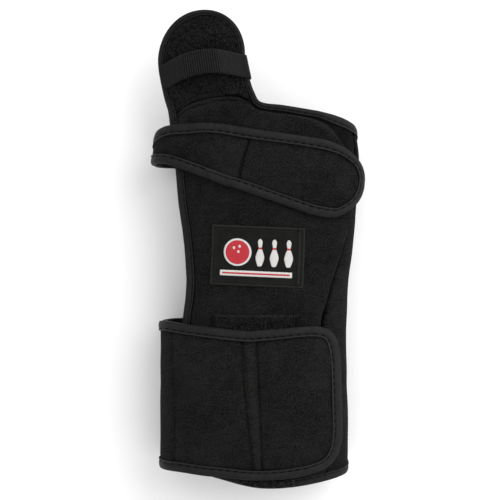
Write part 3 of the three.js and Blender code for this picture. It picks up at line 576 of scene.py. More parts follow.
class Finish:
    """One material: its nodes, and the surface that they feed."""

    def __init__(self, name, **surface):
        self.material = bpy.data.materials.new(name)
        self.material.use_nodes = True
        self.tree = self.material.node_tree
        self.tree.nodes.clear()
        output = self.tree.nodes.new("ShaderNodeOutputMaterial")
        self.surface = self.tree.nodes.new("ShaderNodeBsdfPrincipled")
        self.tree.links.new(self.surface.outputs[0], output.inputs[0])
        for socket, value in surface.items():
            self.feed(self.surface, socket.replace("_", " "), value)

    def feed(self, node, socket, value):
        if isinstance(value, Signal):
            self.tree.links.new(value.socket, node.inputs[socket])
        else:
            node.inputs[socket].default_value = value

    def node(self, kind, settings, sockets, out=0):
        node = self.tree.nodes.new(kind)
        for name, value in settings.items():
            setattr(node, name, value)
        for name, value in sockets.items():
            self.feed(node, name, value)
        return Signal(self, node.outputs[out])

    def set(self, socket, value):
        self.feed(self.surface, socket, value)

    def millimetres(self, place):
        """The cloth's own place (UV) or the place in space (Object), in millimetres."""
        at = self.node("ShaderNodeTexCoord", {}, {}, place)
        return self.node("ShaderNodeVectorMath", {"operation": "SCALE"}, {0: at, "Scale": 1000.0})

    def cloth_places(self):
        """The cloth's own place, and its first and second part."""
        at = self.millimetres("UV")
        split = self.tree.nodes.new("ShaderNodeSeparateXYZ")
        self.feed(split, 0, at)
        return at, *[Signal(self, split.outputs[k]) for k in range(2)]

    def noise(self, at, size, detail=2.0, roughness=0.5):
        """Cloudy noise from about -1 to 1, whose blots are about so many millimetres across."""
        sockets = {"Vector": at, "Scale": 1 / size, "Detail": detail, "Roughness": roughness}
        return self.node("ShaderNodeTexNoise", {}, sockets) * 4.0 - 2.0

    # Painted shading of the points: shade in seams, at edges, beside tapes; highlight on ridges
    def painted_shading(self):
        settings = {"attribute_type": "GEOMETRY", "attribute_name": "painted_shading"}
        return self.node("ShaderNodeAttribute", settings, {}, "Fac")

    def blend(self, low, high, amount):
        """A colour between two."""
        sockets = {0: amount, 6: (*low, 1), 7: (*high, 1)}
        return self.node("ShaderNodeMix", {"data_type": "RGBA"}, sockets, 2)

    def shade(self, colour, share, tone):
        """Sets a colour that tone, from -1 to 1, darkens and lightens by a share."""
        low = tuple(c * (1 - share) for c in colour)
        high = tuple(c * (1 + share) for c in colour)
        self.set("Base Color", self.blend(low, high, (tone * 0.5 + 0.5).clamp()))

    def bump(self, height, depth_mm, strength=1.0):
        sockets = {"Height": height, "Distance": depth_mm * MM, "Strength": strength}
        self.set("Normal", self.node("ShaderNodeBump", {}, sockets))


def knit_cloth(name, colour, speckle=0.6):
    """Brushed knit over foam: fine courses and wales under a short, speckled nap."""
    cloth = Finish(name, Roughness=0.95, Specular_IOR_Level=0.05, Sheen_Weight=0.012,
                   Sheen_Roughness=0.5)
    at, across, along = cloth.cloth_places()
    wobble = cloth.noise(at, 3.0) * 0.1
    wales = (across + wobble).wave(1.25)
    courses = (along + wales * 0.12 + wobble).wave(1.05)
    nap = cloth.noise(at, 0.55, 3.0, 0.7)
    speck = cloth.noise(at, 1.1, 2.0, 0.6)
    blotch = cloth.noise(at, 5.0, 2.0, 0.55)
    broad = cloth.noise(at, 28.0)
    tone = nap * 0.9 + speck * 1.1 + blotch * 0.4 + broad * 0.4 + courses * 0.1 + wales * 0.07
    # Painted shading: the knit is darker in seams and at edges, lighter on ridges
    cloth.shade(colour, speckle, tone - cloth.painted_shading() * 2.0)
    cloth.bump(nap * 0.4 + speck * 0.45 + courses * 0.18 + wales * 0.12 + blotch * 0.3, 0.22)
    return cloth.material


def tape_cloth(name, colour):
    """Folded binding tape: fine cross ribs, a soft shine and a brighter woven edge."""
    tape = Finish(name, Specular_IOR_Level=0.16, Sheen_Weight=0.02, Sheen_Roughness=0.4)
    at, along, across = tape.cloth_places()
    ribs = (along + tape.noise(at, 5.0) * 0.1).wave(0.62)
    threads = across.wave(0.5)
    fibre = tape.noise(at, 0.5, 3.0, 0.6)
    streak = tape.noise(at, 2.4, 2.0, 0.5)
    broad = tape.noise(at, 14.0)
    woven_edge = 1.0 - across.within(1.05, 1.5)
    tone = fibre * 0.75 + streak * 0.65 + broad * 0.35 + ribs * 0.16 + threads * 0.1
    tone = tone + woven_edge * 1.5 - 0.15
    # Painted shade darkens the tape along its sewn groove and rounded edge
    tape.shade(colour, 0.75, tone - tape.painted_shading() * 0.35)
    tape.set("Roughness", fibre * 0.06 + 0.6)
    tape.bump(ribs * 0.2 + threads * 0.16 + fibre * 0.22 + streak * 0.3, 0.14)
    return tape.material


def loop_cloth(name, colour, speckle=0.98):
    """Looped pile: crushed clumps of loops with shadowed gaps between them."""
    pile = Finish(name, Roughness=0.95, Specular_IOR_Level=0.08, Sheen_Weight=0.02,
                  Sheen_Roughness=0.5)
    at = pile.millimetres("Object")
    clump = pile.noise(at, 1.6, 3.0, 0.7)
    curl = pile.noise(at, 0.75, 3.0, 0.75)
    crush = pile.noise(at, 8.0)
    settings, sockets = {"feature": "F1"}, {"Vector": at, "Scale": 1 / 1.15}
    gaps = pile.node("ShaderNodeTexVoronoi", settings, sockets) * 2.0 - 1.0
    tone = clump * 1.2 + curl * 3.0 - gaps * 1.2 + crush * 0.5 - 0.2
    pile.shade(colour, speckle, tone)
    pile.bump(clump * 0.6 + curl * 0.45 - gaps * 0.5, 0.55)
    return pile.material


def rib_elastic(name, colour):
    """Woven elastic: bold cross ribs where it is stretched, a plain weave at its sewn ends."""
    band = Finish(name, Roughness=0.8, Specular_IOR_Level=0.12, Sheen_Weight=0.02)
    at, along, across = band.cloth_places()
    ribs = along.wave(RIB_PITCH)
    fine = (along.wave(0.9) + across.wave(1.0)) * 0.3
    stretched = along.within(*RIBS_START) * (1.0 - along.within(*RIBS_END))
    weave = ribs * stretched + fine * (1.0 - stretched)
    fibre = band.noise(at, 0.5, 3.0, 0.6)
    patch = band.noise(at, 2.2, 2.0, 0.5)
    end = along.within(*RIBS_END)
    band.shade(colour, 0.85, weave * 0.95 + fibre * 0.5 + patch * 0.4 + end * 0.2 - 0.15)
    band.bump(weave * 0.6 + fibre * 0.2, 0.3)
    return band.material


def woven_label(name, colour):
    """Tightly woven label with a slanting twill and lighter folded borders."""
    label = Finish(name, Roughness=0.85, Specular_IOR_Level=0.1, Sheen_Weight=0.01)
    at, across, up = label.cloth_places()
    along = up + (across - LABEL_SHIFT) * LABEL_SLANT
    side = abs(across - LABEL_SHIFT) - (LABEL_WIDTH / 2 - LABEL_FOLD)
    end = abs(along - LABEL_UP) - (LABEL_LENGTH / 2 - LABEL_FOLD)
    double = across - (LABEL_SHIFT + LABEL_WIDTH / 2 - LABEL_DOUBLE)
    border = side.larger(end).larger(double).within(-0.15, 0.25)
    rim = side.larger(end).within(LABEL_FOLD - 0.75, LABEL_FOLD - 0.4)
    twill = (across + along).wave(0.8)
    fibre = label.noise(at, 0.6, 3.0, 0.6)
    broad = label.noise(at, 6.0)
    tone = twill * 0.25 + fibre * 0.7 + broad * 0.3 + border * 0.95 + rim * 1.3 - 0.4
    # Painted shade darkens the label along its sewn lines and rounded edge
    label.shade(colour, 0.75, tone - label.painted_shading() * 1.4)
    label.bump(twill * 0.3 + fibre * 0.3, 0.12)
    return label.material


def satin_thread(name, colour):
    """Close rows of embroidery thread."""
    satin = Finish(name, Roughness=0.5, Specular_IOR_Level=0.3, Sheen_Weight=0.05)
    at, across, along = satin.cloth_places()
    rows = (along + across * 0.25 + satin.noise(at, 2.0) * 0.06).wave(0.5)
    fibre = satin.noise(at, 0.4, 2.0, 0.5)
    satin.shade(colour, 0.35, rows * 0.5 + fibre * 0.35)
    satin.bump(rows * 0.6 + fibre * 0.2, 0.14)
    return satin.material


def sewing_thread(name, colour):
    thread = Finish(name, Roughness=0.8, Specular_IOR_Level=0.08)
    thread.shade(colour, 0.5, thread.noise(thread.millimetres("Object"), 0.4))
    return thread.material


def grey(value, tint=(1.0, 1.0, 0.975)):
    """A colour of so much brightness, a little warm."""
    return tuple(value * t for t in tint)


BODY = knit_cloth("body knit", grey(0.0073), 0.8)
STRAP_CLOTH = knit_cloth("strap knit", grey(0.0084), 0.75)
# A darker copy of the knit, as painted shade in the recess beside the pad and in the seams' gaps
SHADED_INSIDE_KNIT = knit_cloth("shaded inside knit", grey(0.0042), 0.7)
TAPE_CLOTH = tape_cloth("binding tape", grey(0.0068))
RIM_TAPE = tape_cloth("rim tape", grey(0.0055))
PILE = loop_cloth("loop pile", grey(0.0070))
PILE_END = loop_cloth("loop pile end", grey(0.0135), 0.85)
HOOK_EDGE = knit_cloth("loop tape edge", grey(0.0042), 0.5)
ELASTIC = rib_elastic("ribbed elastic", grey(0.0072, (0.97, 1.03, 0.95)))
LABEL = woven_label("label weave", grey(0.0092, (0.98, 1.02, 0.93)))
THREAD = sewing_thread("black thread", grey(0.0012))
PALE_THREAD = sewing_thread("grey thread", grey(0.04))
WHITE_SATIN = satin_thread("white embroidery", (0.62, 0.61, 0.59))
RED_SATIN = satin_thread("red embroidery", (0.45, 0.018, 0.03))


# Cloth tools
def summed(gaps):
    return np.concatenate([[0], np.cumsum(gaps)])


def distances(line):
    """How far along a line each of its points lies."""
    return summed(np.linalg.norm(np.diff(line, axis=0), axis=1))


def refine(rows, spacing):
    """A control grid of cloth places, made finer in both directions."""
    rows = np.asarray(rows, float)[..., :2]
    for _ in range(2):
        keys = summed(np.linalg.norm(np.diff(rows, axis=0), axis=2).mean(1))
        count = max(2, int(math.ceil(keys[-1] / spacing)) + 1)
        rows = flow(keys, rows, np.linspace(0, keys[-1], count)).transpose(1, 0, 2)
    return rows


def spread(values, shape):
    """Spreads a coarse grid of values smoothly over a finer one."""
    for count in shape:
        at = np.linspace(0, len(values) - 1, count)
        values = np.swapaxes(flow(np.arange(len(values)), values, at), 0, 1)
    return values


class Edges:
    """How far each point of a grid of cloth is from the grid's four sides, in millimetres."""

    def __init__(self, grid):
        self.low, self.high = self.runs(grid, 0)
        self.left, self.right = self.runs(grid, 1)
        self.near = np.minimum.reduce([self.low, self.high, self.left, self.right])

    def runs(self, grid, axis):
        steps = np.linalg.norm(np.diff(grid, axis=axis), axis=2)
        start = [(1, 0), (0, 0)] if axis == 0 else [(0, 0), (1, 0)]
        run = np.pad(np.cumsum(steps, axis=axis), start)
        return run, run.max(axis=axis, keepdims=True) - run


def make_object(name, bm, material, smooth=True):
    if bm.calc_volume(signed=True) < 0:
        bmesh.ops.reverse_faces(bm, faces=bm.faces)
    mesh = bpy.data.meshes.new(name)
    bm.to_mesh(mesh)
    bm.free()
    mesh.materials.append(material)
    if smooth:
        mesh.shade_smooth()
    piece = bpy.data.objects.new(name, mesh)
    bpy.context.scene.collection.objects.link(piece)
    return piece


def lay_grid(bm, points, uvs, painted_shading_values=None):
    """Adds a grid of cloth, with its places in metres and its own cloth places as UVs.

    Its last argument is each point's painted shading: painted shade from 0 to 1 in sewn lines,
    at edges and beside tapes, or a painted highlight below 0 on a ridge.
    """
    rows, columns = points.shape[:2]
    deep = bm.verts.layers.float.get("painted_shading") or bm.verts.layers.float.new("painted_shading")
    made = bmesh.ops.create_grid(bm, x_segments=columns - 1, y_segments=rows - 1, size=0.5)["verts"]
    layer = bm.loops.layers.uv.active or bm.loops.layers.uv.new("cloth")
    cloth_uv = {}
    for vert in made:
        i = int(round((vert.co.y + 0.5) * (rows - 1)))
        j = int(round((vert.co.x + 0.5) * (columns - 1)))
        vert.co = points[i, j]
        cloth_uv[vert] = uvs[i, j]
        if painted_shading_values is not None:
            vert[deep] = painted_shading_values[i, j]
    for face in {f for vert in made for f in vert.link_faces}:
        for loop in face.loops:
            loop[layer].uv = cloth_uv[loop.vert]
    return made


def uv_of(grid):
    return grid[..., :2] * MM


def settle(rows, level, sewn, swell, most, spacing):
    """Lets a pad's face swell between its seams, and gives the way each point of it moves.

    The face is a sheet a little larger than its foam, held where sewn is 1 and blown out from
    behind. swell is its share too large, and most the millimetres that it may rise. It is worked
    out SOLVER_SCALE times larger, since the solver suits sheets a metre long.
    """
    grid = refine(rows, spacing)
    s, y = grid[..., 0], grid[..., 1]
    start = form.place(s, y, level(s, y)) * SOLVER_SCALE
    bm = bmesh.new()
    lay_grid(bm, start, uv_of(grid))
    bm.faces.ensure_lookup_table()
    bm.normal_update()
    if bm.faces[0].normal.dot(Vector(form.out(s[0, 0], y[0, 0]))) < 0:
        bmesh.ops.reverse_faces(bm, faces=bm.faces)
    mesh = bpy.data.meshes.new("face")
    bm.to_mesh(mesh)
    bm.free()
    face = bpy.data.objects.new("face", mesh)
    scene = bpy.context.scene
    scene.collection.objects.link(face)
    held = face.vertex_groups.new(name="sewn")
    pinned = sewn(s, y, Edges(grid))
    for k, weight in enumerate(pinned.ravel()):
        if weight > 0:
            held.add([k], float(weight), "REPLACE")
    cloth = face.modifiers.new("cloth", "CLOTH")
    for name, value in {**SOLVER, "vertex_group_mass": held.name, "shrink_min": -swell}.items():
        setattr(cloth.settings, name, value)
    cloth.settings.effector_weights.gravity = 0
    cloth.point_cache.frame_start, cloth.point_cache.frame_end = 1, SETTLE_FRAMES
    for moment in range(1, SETTLE_FRAMES + 1):
        scene.frame_set(moment)
    settled = face.evaluated_get(bpy.context.evaluated_depsgraph_get()).data
    places = np.empty(start.size)
    settled.vertices.foreach_get("co", places)
    scene.frame_set(1)
    bpy.data.objects.remove(face)
    moves = (places.reshape(start.shape) - start) / SOLVER_SCALE / MM
    out = form.out(s, y)
    rise = np.sum(moves * out, axis=2, keepdims=True)
    along = moves - rise * out
    rise = np.where(rise > 0, most * np.tanh(rise / most), 0.3 * most * np.tanh(rise / most))
    free = (1 - pinned[..., None]) ** 2
    return (rise * out + 0.5 * most * np.tanh(along / most)) * free * MM


def shell(name, rows, inner, outer, material, spacing, rounding, relief=None, moves=None,
          edge_painted_shade=0.7):
    """A closed piece of cloth with a rounded edge: inner and outer are depths or functions.

    spacing is its cells' size and rounding the reach of its rounded edge. relief gives how far
    its face stands out, and its painted shade along sewn lines, or painted highlight below 0.
    moves are what settle gives, and the last argument is the painted shade on the rounded edge.
    its face stands out, and how dark its sewn lines are. moves are what settle gives.
    """
    grid = refine(rows, spacing)
    s, y = grid[..., 0], grid[..., 1]
    depth = lambda value: value(s, y) if callable(value) else np.full(s.shape, float(value))
    low, high = depth(inner), depth(outer)
    edges = Edges(grid)
    full = np.sqrt(1 - (1 - np.clip(edges.near / rounding, 0, 1)) ** 2)
    middle = (low + high) / 2
    extra, lines = relief(s, y, edges) if relief else (0, 0)
    # Painted shade on the rounded edge, on top of the relief's painted shading
    lines = lines + edge_painted_shade * (1 - full)
    face = form.place(s, y, middle + ((high - middle) + extra) * full)
    if moves is not None:
        face = face + spread(moves, s.shape) * full[..., None]
    bm = bmesh.new()
    lay_grid(bm, face, uv_of(grid), lines)
    back = lay_grid(bm, form.place(s, y, middle - (middle - low) * full), uv_of(grid))
    bmesh.ops.reverse_faces(bm, faces=list({f for v in back for f in v.link_faces}))
    bmesh.ops.remove_doubles(bm, verts=[v for v in bm.verts if v.is_boundary], dist=1e-6)
    return make_object(name, bm, material)


def tube(name, columns, at, across, material, painted_shading_values=0.0):
    """A closed band from its lengthwise lines, where at and across are its own cloth places."""
    points = np.stack(columns, 1)
    uvs = np.stack(np.broadcast_arrays(at[:, None], np.array(across)[None, :]), -1) * MM
    bm = bmesh.new()
    lay_grid(bm, points, uvs, np.broadcast_to(painted_shading_values, points.shape[:2]))
    bmesh.ops.remove_doubles(bm, verts=[v for v in bm.verts if v.is_boundary], dist=1e-7)
    loose = [e for e in bm.edges if e.is_boundary]
    if loose:
        bmesh.ops.holes_fill(bm, edges=loose, sides=0)
    return make_object(name, bm, material)


def resample(line, spacing, closed, soften=0.0):
    """Even steps along a line of cloth places, softened over so many millimetres."""
    if closed:
        line = np.concatenate([line, line[:1]])
    keys = distances(line[:, :2])
    count = int(round(keys[-1] / spacing))
    at = np.linspace(0, keys[-1], count + 1)
    fine = np.stack([np.interp(at, keys, line[:, k]) for k in range(line.shape[1])], 1)
    if closed:
        fine = fine[:-1]
    if soften:
        reach = int(3 * soften / spacing)
        weights = np.exp(-0.5 * (np.arange(-reach, reach + 1) * spacing / soften) ** 2)
        weights /= weights.sum()
        if closed:
            padded = np.concatenate([fine[-reach:], fine, fine[:reach]])
        else:
            start = 2 * fine[:1] - fine[1:reach + 1][::-1]
            end = 2 * fine[-1:] - fine[-reach - 1:-1][::-1]
            padded = np.concatenate([start, fine, end])
        fine = np.stack([np.convolve(part, weights, "valid") for part in padded.T], 1)
    return fine


def waves(at, length, seed):
    """Gentle unevenness from -1 to 1 along a line, about so many millimetres long."""
    count = max(3, int(at[-1] / length))
    values = np.random.default_rng(seed).uniform(-1, 1, count + 1)
    values[-1] = values[0]
    return flow(np.linspace(0, at[-1], count + 1), values, at)


# The section of a folded tape: share of the leg, millimetres in, millimetres up
TAPE_TOP = [(1.0, 0.0, -0.5), (1.0, 0.0, -0.1), (0.985, 0.0, 0.1), (0.93, 0.0, 0.16),
            (0.87, 0.0, 0.08), (0.83, 0.0, -0.16), (0.77, 0.0, -0.3), (0.71, 0.0, -0.16),
            (0.65, 0.0, 0.06), (0.45, 0.0, 0.16), (0.25, 0.1, 0.12), (0.1, 0.5, -0.04),
            (0.0, 0.75, -0.25)]
TAPE_UNDER = [(0.0, 0.9, 0.0), (0.5, 0.0, -0.05), (0.97, 0.0, -0.02), (1.0, 0.0, 0.06),
              (1.0, 0.0, 0.4)]
# Where a tape is sewn, the stitches' pitch, how far it stands off the edge, its steps along, and
# its unevenness: how deep, and how many millimetres long
SEWN_SHARE, SEWN_FROM, SEWN_TO, STITCH_PITCH = 0.775, 0.7, 0.84, 4.4
TAPE_STAND, TAPE_SPACING, TAPE_SOFTEN, FOLD_WALL = 0.35, 1.0, 2.0, 1.25
WIDTH_WAVE, PUFF_WAVE, PUCKER = (0.22, 14.0), (0.12, 7.0), 0.16


def tape_line(edge, closed, soften=TAPE_SOFTEN):
    """The line of a tape's fold, just outside the edge that it covers."""
    return inset(resample(edge, TAPE_SPACING, closed, soften), -TAPE_STAND, closed)


def binding(name, edge, lift, height, closed, material, seed, soften=TAPE_SOFTEN, slant=0.0):
    """Tape folded over an edge, pulled in where it is sewn, and its last end cut so far aslant."""
    line = tape_line(edge, closed, soften)
    at = distances(line[:, :2])
    wide = TAPE_STAND + line[:, 2] + WIDTH_WAVE[0] * waves(at, WIDTH_WAVE[1], seed)
    puff = PUFF_WAVE[0] * waves(at, PUFF_WAVE[1], seed + 1)
    pucker = 0.5 + 0.5 * np.cos(2 * np.pi * at / STITCH_PITCH)
    ways = np.gradient(line[:, :2], axis=0)
    ways /= np.linalg.norm(ways, axis=1, keepdims=True)
    sections, painted_shading_values = [], []
    for share, extra, up in TAPE_TOP:
        sewn = SEWN_FROM < share < SEWN_TO
        lifted = up + puff * math.sin(math.pi * share) - (PUCKER * pucker if sewn else 0.0)
        sections.append((share * wide + (1 - share) * extra, height + lifted))
        # Painted shade along the tape's sewn groove
        painted_shading_values.append(1.0 if sewn else 0.0)
    for turn in np.linspace(0.5, math.pi - 0.35, 7):
        inward = np.full_like(wide, 0.8 - 0.8 * math.sin(turn) ** 0.8)
        sections.append((inward, np.full_like(wide, height * (0.5 + 0.5 * math.cos(turn)))))
    for share, extra, up in TAPE_UNDER:
        sections.append((share * wide + (1 - share) * extra, np.full_like(wide, up)))
    # The inner wall of the fold
    for up in (TAPE, height - 0.5):
        sections.append((np.full_like(wide, FOLD_WALL), np.full_like(wide, up)))
    columns, across = [], [0.0]
    painted_shading_values += [0.0] * (len(sections) + 1 - len(painted_shading_values))
    for k, (inward, depth) in enumerate(sections + sections[:1]):
        moved = inset(line, inward, closed)
        if slant:
            back = slant * (1 - np.clip(inward / wide, 0, 1)) * (at / at[-1]) ** 2
            moved[:, :2] -= back[:, None] * ways
        base = lift(moved[:, 0], moved[:, 1])
        columns.append(form.place(moved[:, 0], moved[:, 1], base + depth))
        if k:
            across.append(across[-1] + float(np.mean(np.hypot(inward - last[0], depth - last[1]))))
        last = (inward, depth)
    if closed:
        columns = [np.concatenate([column, column[:1]]) for column in columns]
        at = np.concatenate([at, [at[-1] + TAPE_SPACING]])
    return tube(name, columns, at, across, material, painted_shading_values)


def sewing(name, runs, material):
    """Sewing thread along lines of the cloth: one short capsule to a stitch.

    Each run is a line, the depth it lies at, the pitch, and the thread's length, width and height.
    """
    whole = bmesh.new()
    for line, depth, pitch, long, wide, high in runs:
        line = np.asarray(line, float)
        steps = distances(line[:, :2])
        count = int(steps[-1] / pitch)
        middles = (np.arange(count) + 0.5) * steps[-1] / count
        trace = lambda move: [np.interp(middles + move, steps, line[:, k]) for k in (0, 1)]
        s, y = trace(0)
        level = depth(s, y) if callable(depth) else np.full(s.shape, float(depth))
        centres, outs = form.place(s, y, level), form.out(s, y)
        ways = form.place(*trace(0.3 * pitch), level) - form.place(*trace(-0.3 * pitch), level)
        for start in range(0, count, STITCH_BATCH):
            batch = bmesh.new()
            chosen = slice(start, start + STITCH_BATCH)
            for centre, way, up in zip(centres[chosen], ways[chosen], outs[chosen]):
                way = Vector(way).normalized()
                side = Vector(up).cross(way).normalized()
                turn = Matrix((way, side, way.cross(side))).transposed().to_4x4()
                size = Matrix.Diagonal((long / 2 * MM, wide / 2 * MM, high / 2 * MM, 1))
                matrix = Matrix.Translation(Vector(centre)) @ turn @ size
                bmesh.ops.create_uvsphere(batch, u_segments=6, v_segments=4, radius=1.0,
                                          matrix=matrix)
            mesh = bpy.data.meshes.new("batch")
            batch.to_mesh(mesh)
            batch.free()
            whole.from_mesh(mesh)
            bpy.data.meshes.remove(mesh)
    return make_object(name, whole, material)


def step(away, width=0.18):
    """0 before the line and 1 past it, over about so many millimetres."""
    return 1 / (1 + np.exp(-np.clip(away / width, -40, 40)))


def bell(away, width):
    """1 on the line, and 0 a few widths to either side of it."""
    return np.exp(-((away / width) ** 2))


def from_line(s, y, line):
    """How far cloth places lie to the right of a line that runs along the hand."""
    line = np.asarray(line, float)
    line = line[np.argsort(line[:, 1])]
    return s - np.interp(y, line[:, 1], line[:, 0])


def ripple(s, y, seed, size, count=24):
    """Soft unevenness of cloth: a sum of slow waves in many directions."""
    local = np.random.default_rng(seed)
    total = np.zeros_like(s)
    for _ in range(count):
        turn, phase = local.uniform(0, 2 * np.pi, 2)
        length = size * local.uniform(0.6, 1.8)
        total += np.sin((s * np.cos(turn) + y * np.sin(turn)) * 2 * np.pi / length + phase)
    return total / math.sqrt(count)


def inside_patch(s, y, middle, width, low, high, soft=1.5):
    """1 on a patch and 0 off it."""
    within = step(width / 2 - np.abs(s - middle), soft / 4)
    return within * step(y - low, soft / 4) * step(high - y, soft / 4)


def placed(piece, slot, *nodes):
    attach(piece, "root")
    if nodes:
        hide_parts(*nodes)


def padded(piece, fill, slot, *nodes):
    placed(piece, slot, *nodes)


def sheet(piece, width, length, held, rests_on, slot, *nodes):
    """Attaches a sheet and hides the solids it stands for; its flat size in millimetres is not
    used.
    """
    placed(piece, slot, *nodes)
    width * MM
    length * MM


def tape_sheet(piece, leg, height, line, rests_on, *nodes):
    """Attaches a folded tape, cut as a straight strip, and hides the solids that it stands for."""
    length = float(np.sum(np.linalg.norm(np.diff(line[:, :2], axis=0), axis=1)))
    sheet(piece, 2 * leg + height, length, "folded", rests_on, "binding_tape", *nodes)


# Camera at the photograph's height and place
camera = bpy.data.objects.new("camera", bpy.data.cameras.new("camera"))
camera.data.sensor_width = SENSOR
camera.data.lens = FOCAL_LENGTH * SENSOR / PHOTO_SIDE
camera.data.clip_start, camera.data.clip_end = 0.01, 20
camera.location = (CAMERA_X - ORIGIN[0]) * MM, (CAMERA_Y - ORIGIN[1]) * MM, CAMERA_HEIGHT
bpy.context.scene.collection.objects.link(camera)
bpy.context.scene.camera = camera


# Base wrap: the front, side and palm panels, and the tape round their rim
def side_relief(s, y, edges):
    clear = np.clip((np.minimum(edges.low, edges.high) - SIDE_CLEAR) / SIDE_FADE, 0, 1)
    rise = SIDE_RISE * clear * step(SIDE_TOP - y, 4) * bell(edges.left, SIDE_REACH)
    face = rise + 0.3 * np.tanh(edges.near / 5) + 0.14 * ripple(s, y, 5, 26)
    # Painted shade along the panel's seams and edges
    return face, 0.2 * bell(edges.near, 1.2)


base_inner = PANEL_INNER - SHELL_SINK
# Its knit is darkened as painted shade for the recess beside the pad's corner
front = shell("front_shell", front_rows, base_inner, PANEL_OUTER, SHADED_INSIDE_KNIT, 1.6, 1.0)
padded(front, 0.1, "body_cloth", "front_panel")
side = shell("side_shell", side_rows, base_inner, PANEL_OUTER, BODY, 1.1, 0.8, side_relief,
             edge_painted_shade=0.25)
padded(side, 0.3, "body_cloth", "side_panel")
palm = shell("palm_shell", palm_rows, base_inner, BOUND, BODY, 1.5, 3.0)
padded(palm, 0.3, "palm_cloth", "palm_panel")
corner_rim = rim.copy()
corner = KNUCKLE + len(knuckle_edge)
corner_rim[corner - 3:corner + 2, 2] = CORNER_BINDING_WIDTH
rim_tape = binding("rim_tape", corner_rim, lambda s, y: np.zeros(np.shape(s)), BOUND, True,
                   RIM_TAPE, 11)
tape_sheet(rim_tape, BINDING_WIDTH, BOUND, rim, "front_shell", "edge_binding")


# Seam tapes inside, where the panels and the straps' starts meet
def seam_tape(name, middles, low, high):
    """A flat strip along a sewn line, whose middle is given at each place along the hand."""
    rows = [[(s + side * SEAM_TAPE_WIDTH / 2, y) for side in (-1, 0, 1)] for s, y in middles]
    padded(shell(name, rows, low, high, SHADED_INSIDE_KNIT, 1.2, 0.3), 0.1, "body_cloth")


side_ups = np.linspace(cloth_foot(FRONT_SEAM[0][0]), top_up - EDGE_SET_BACK - 1, 24)
seam_tape("side_seam_tape", [(seam_spot(y, 0)[0], y) for y in side_ups], 0.2, PANEL_INNER)
under_ups = np.linspace(cloth_foot(UNDER_SEAM), UNDER_KNUCKLE - EDGE_SET_BACK, 24)
seam_tape("under_seam_tape", [(under_seam(0)(y), y) for y in under_ups], 0.2, PANEL_INNER)
for name, strap_up, width, (share, low, high) in (
        ("palm", PALM_STRAP_UP, PALM_STRAP_WIDTH, PALM_STRAP_ROWS[0]),
        ("cuff", CUFF_STRAP_UP, CUFF_STRAP_WIDTH, CUFF_STRAP_ROWS[0])):
    ups = strap_up + width * np.linspace(low, high, 8)
    middles = [(share * form.girth(y) + LAYER_GAP / 2, y) for y in ups]
    seam_tape(f"{name}_strap_seam_tape", middles, -0.5, 0.1)


# Front pad, held down at its edges and under its patches
def pad_relief(s, y, edges):
    folded = 0.3 * step(PAD_FOLD - edges.high, 0.15)
    sewn = bell(edges.high - PAD_SEWN, 0.6)
    face = 0.3 * np.tanh(edges.near / 6) + 0.12 * ripple(s, y, 3, 26) + folded - 0.35 * sewn
    ridge = step(4.5 - edges.near, 0.8) * step(edges.near - 0.8, 0.2) * step(y - PAD_CORNER, 1.5)
    # Painted shade along the sewn line, and painted highlight on the rounded edge by the upper
    # corner
    return face, 0.8 * sewn - 0.4 * ridge


def pad_sewn(s, y, edges):
    half = LABEL_LENGTH / 2
    under_label = inside_patch(s, y, LABEL_SHIFT, LABEL_WIDTH, LABEL_UP - half, LABEL_UP + half)
    under_loops = inside_patch(s, y, LOOP_SHIFT, LOOP_WIDTH, 0, LOOP_TOP)
    at_edge = 1 - np.clip((edges.near - 1.5) / 4, 0, 1)
    return np.maximum.reduce([at_edge, under_label, under_loops])


pad_moves = settle(pad_rows, lambda s, y: PAD_OUTER, pad_sewn, swell=0.012, most=0.9, spacing=3.0)
pad = shell("front_pad_cloth", pad_rows, PAD_INNER - 0.6, PAD_OUTER, BODY, 1.0, 2.2, pad_relief,
            pad_moves, 0.25)
padded(pad, 0.4, "body_cloth", "front_pad")

# Rolled hem where the lining meets the pad's arch
hem_line = refine(pad_rows, 1.5)[-1]
t = shares(len(hem_line) - 1)
hem_line, t = hem_line[t < HEM_END] + [0, 0.2], t[t < HEM_END]
hem_rise = HEM_RISE * np.sqrt(np.clip(4 * t * (HEM_END - t) / HEM_END**2, 0.01, 1))
hem_rows = [hem_line + np.stack([0 * hem_rise, part * hem_rise], 1) for part in (0, 0.5, 1)]
hem = shell("arch_hem", hem_rows, LINING_OUTER, LINING_OUTER + HEM_THICK, BODY, 0.6, HEM_THICK)
padded(hem, 0.3, "body_cloth")


# Tab lining
def lining_relief(s, y, edges):
    face = 0.3 * ripple(s, y, 9, 13) + 0.16 * ripple(s, y, 10, 3.4, 40)
    return face + 0.12 * ripple(s, y, 17, 1.7, 60), 0


lining = shell("tab_pile", lining_rows, LINING_INNER, LINING_OUTER + 0.4, PILE, 0.6, 0.9,
               lining_relief)
sheet(lining, TAB_WIDTH, TAB_LENGTH, "laid", "front_shell", "loop_cloth", "tab_lining")


# Label, folded under at its edges and sewn down, with a plain embroidered set of pins and a ball
def label_relief(s, y, edges):
    border = np.maximum(step(LABEL_FOLD - edges.near), step(LABEL_DOUBLE - edges.right))
    sewn = np.maximum(bell(edges.near - LABEL_SEWN, 0.42),
                      bell(edges.right - LABEL_DOUBLE + LABEL_DOUBLE_SEWN, 0.42))
    # Painted shade along the sewn lines
    return 0.4 * border - 0.35 * sewn + 0.1 * ripple(s, y, 21, 14), sewn


label_top = PATCH_INNER + LABEL_THICK
label = shell("label_cloth", askew(label_rows), PATCH_INNER - SHELL_SINK, label_top - 0.1, LABEL,
              0.45, 0.5, label_relief)
sheet(label, LABEL_WIDTH, LABEL_LENGTH, "laid", "front_pad_cloth", "label_cloth", "label_patch")


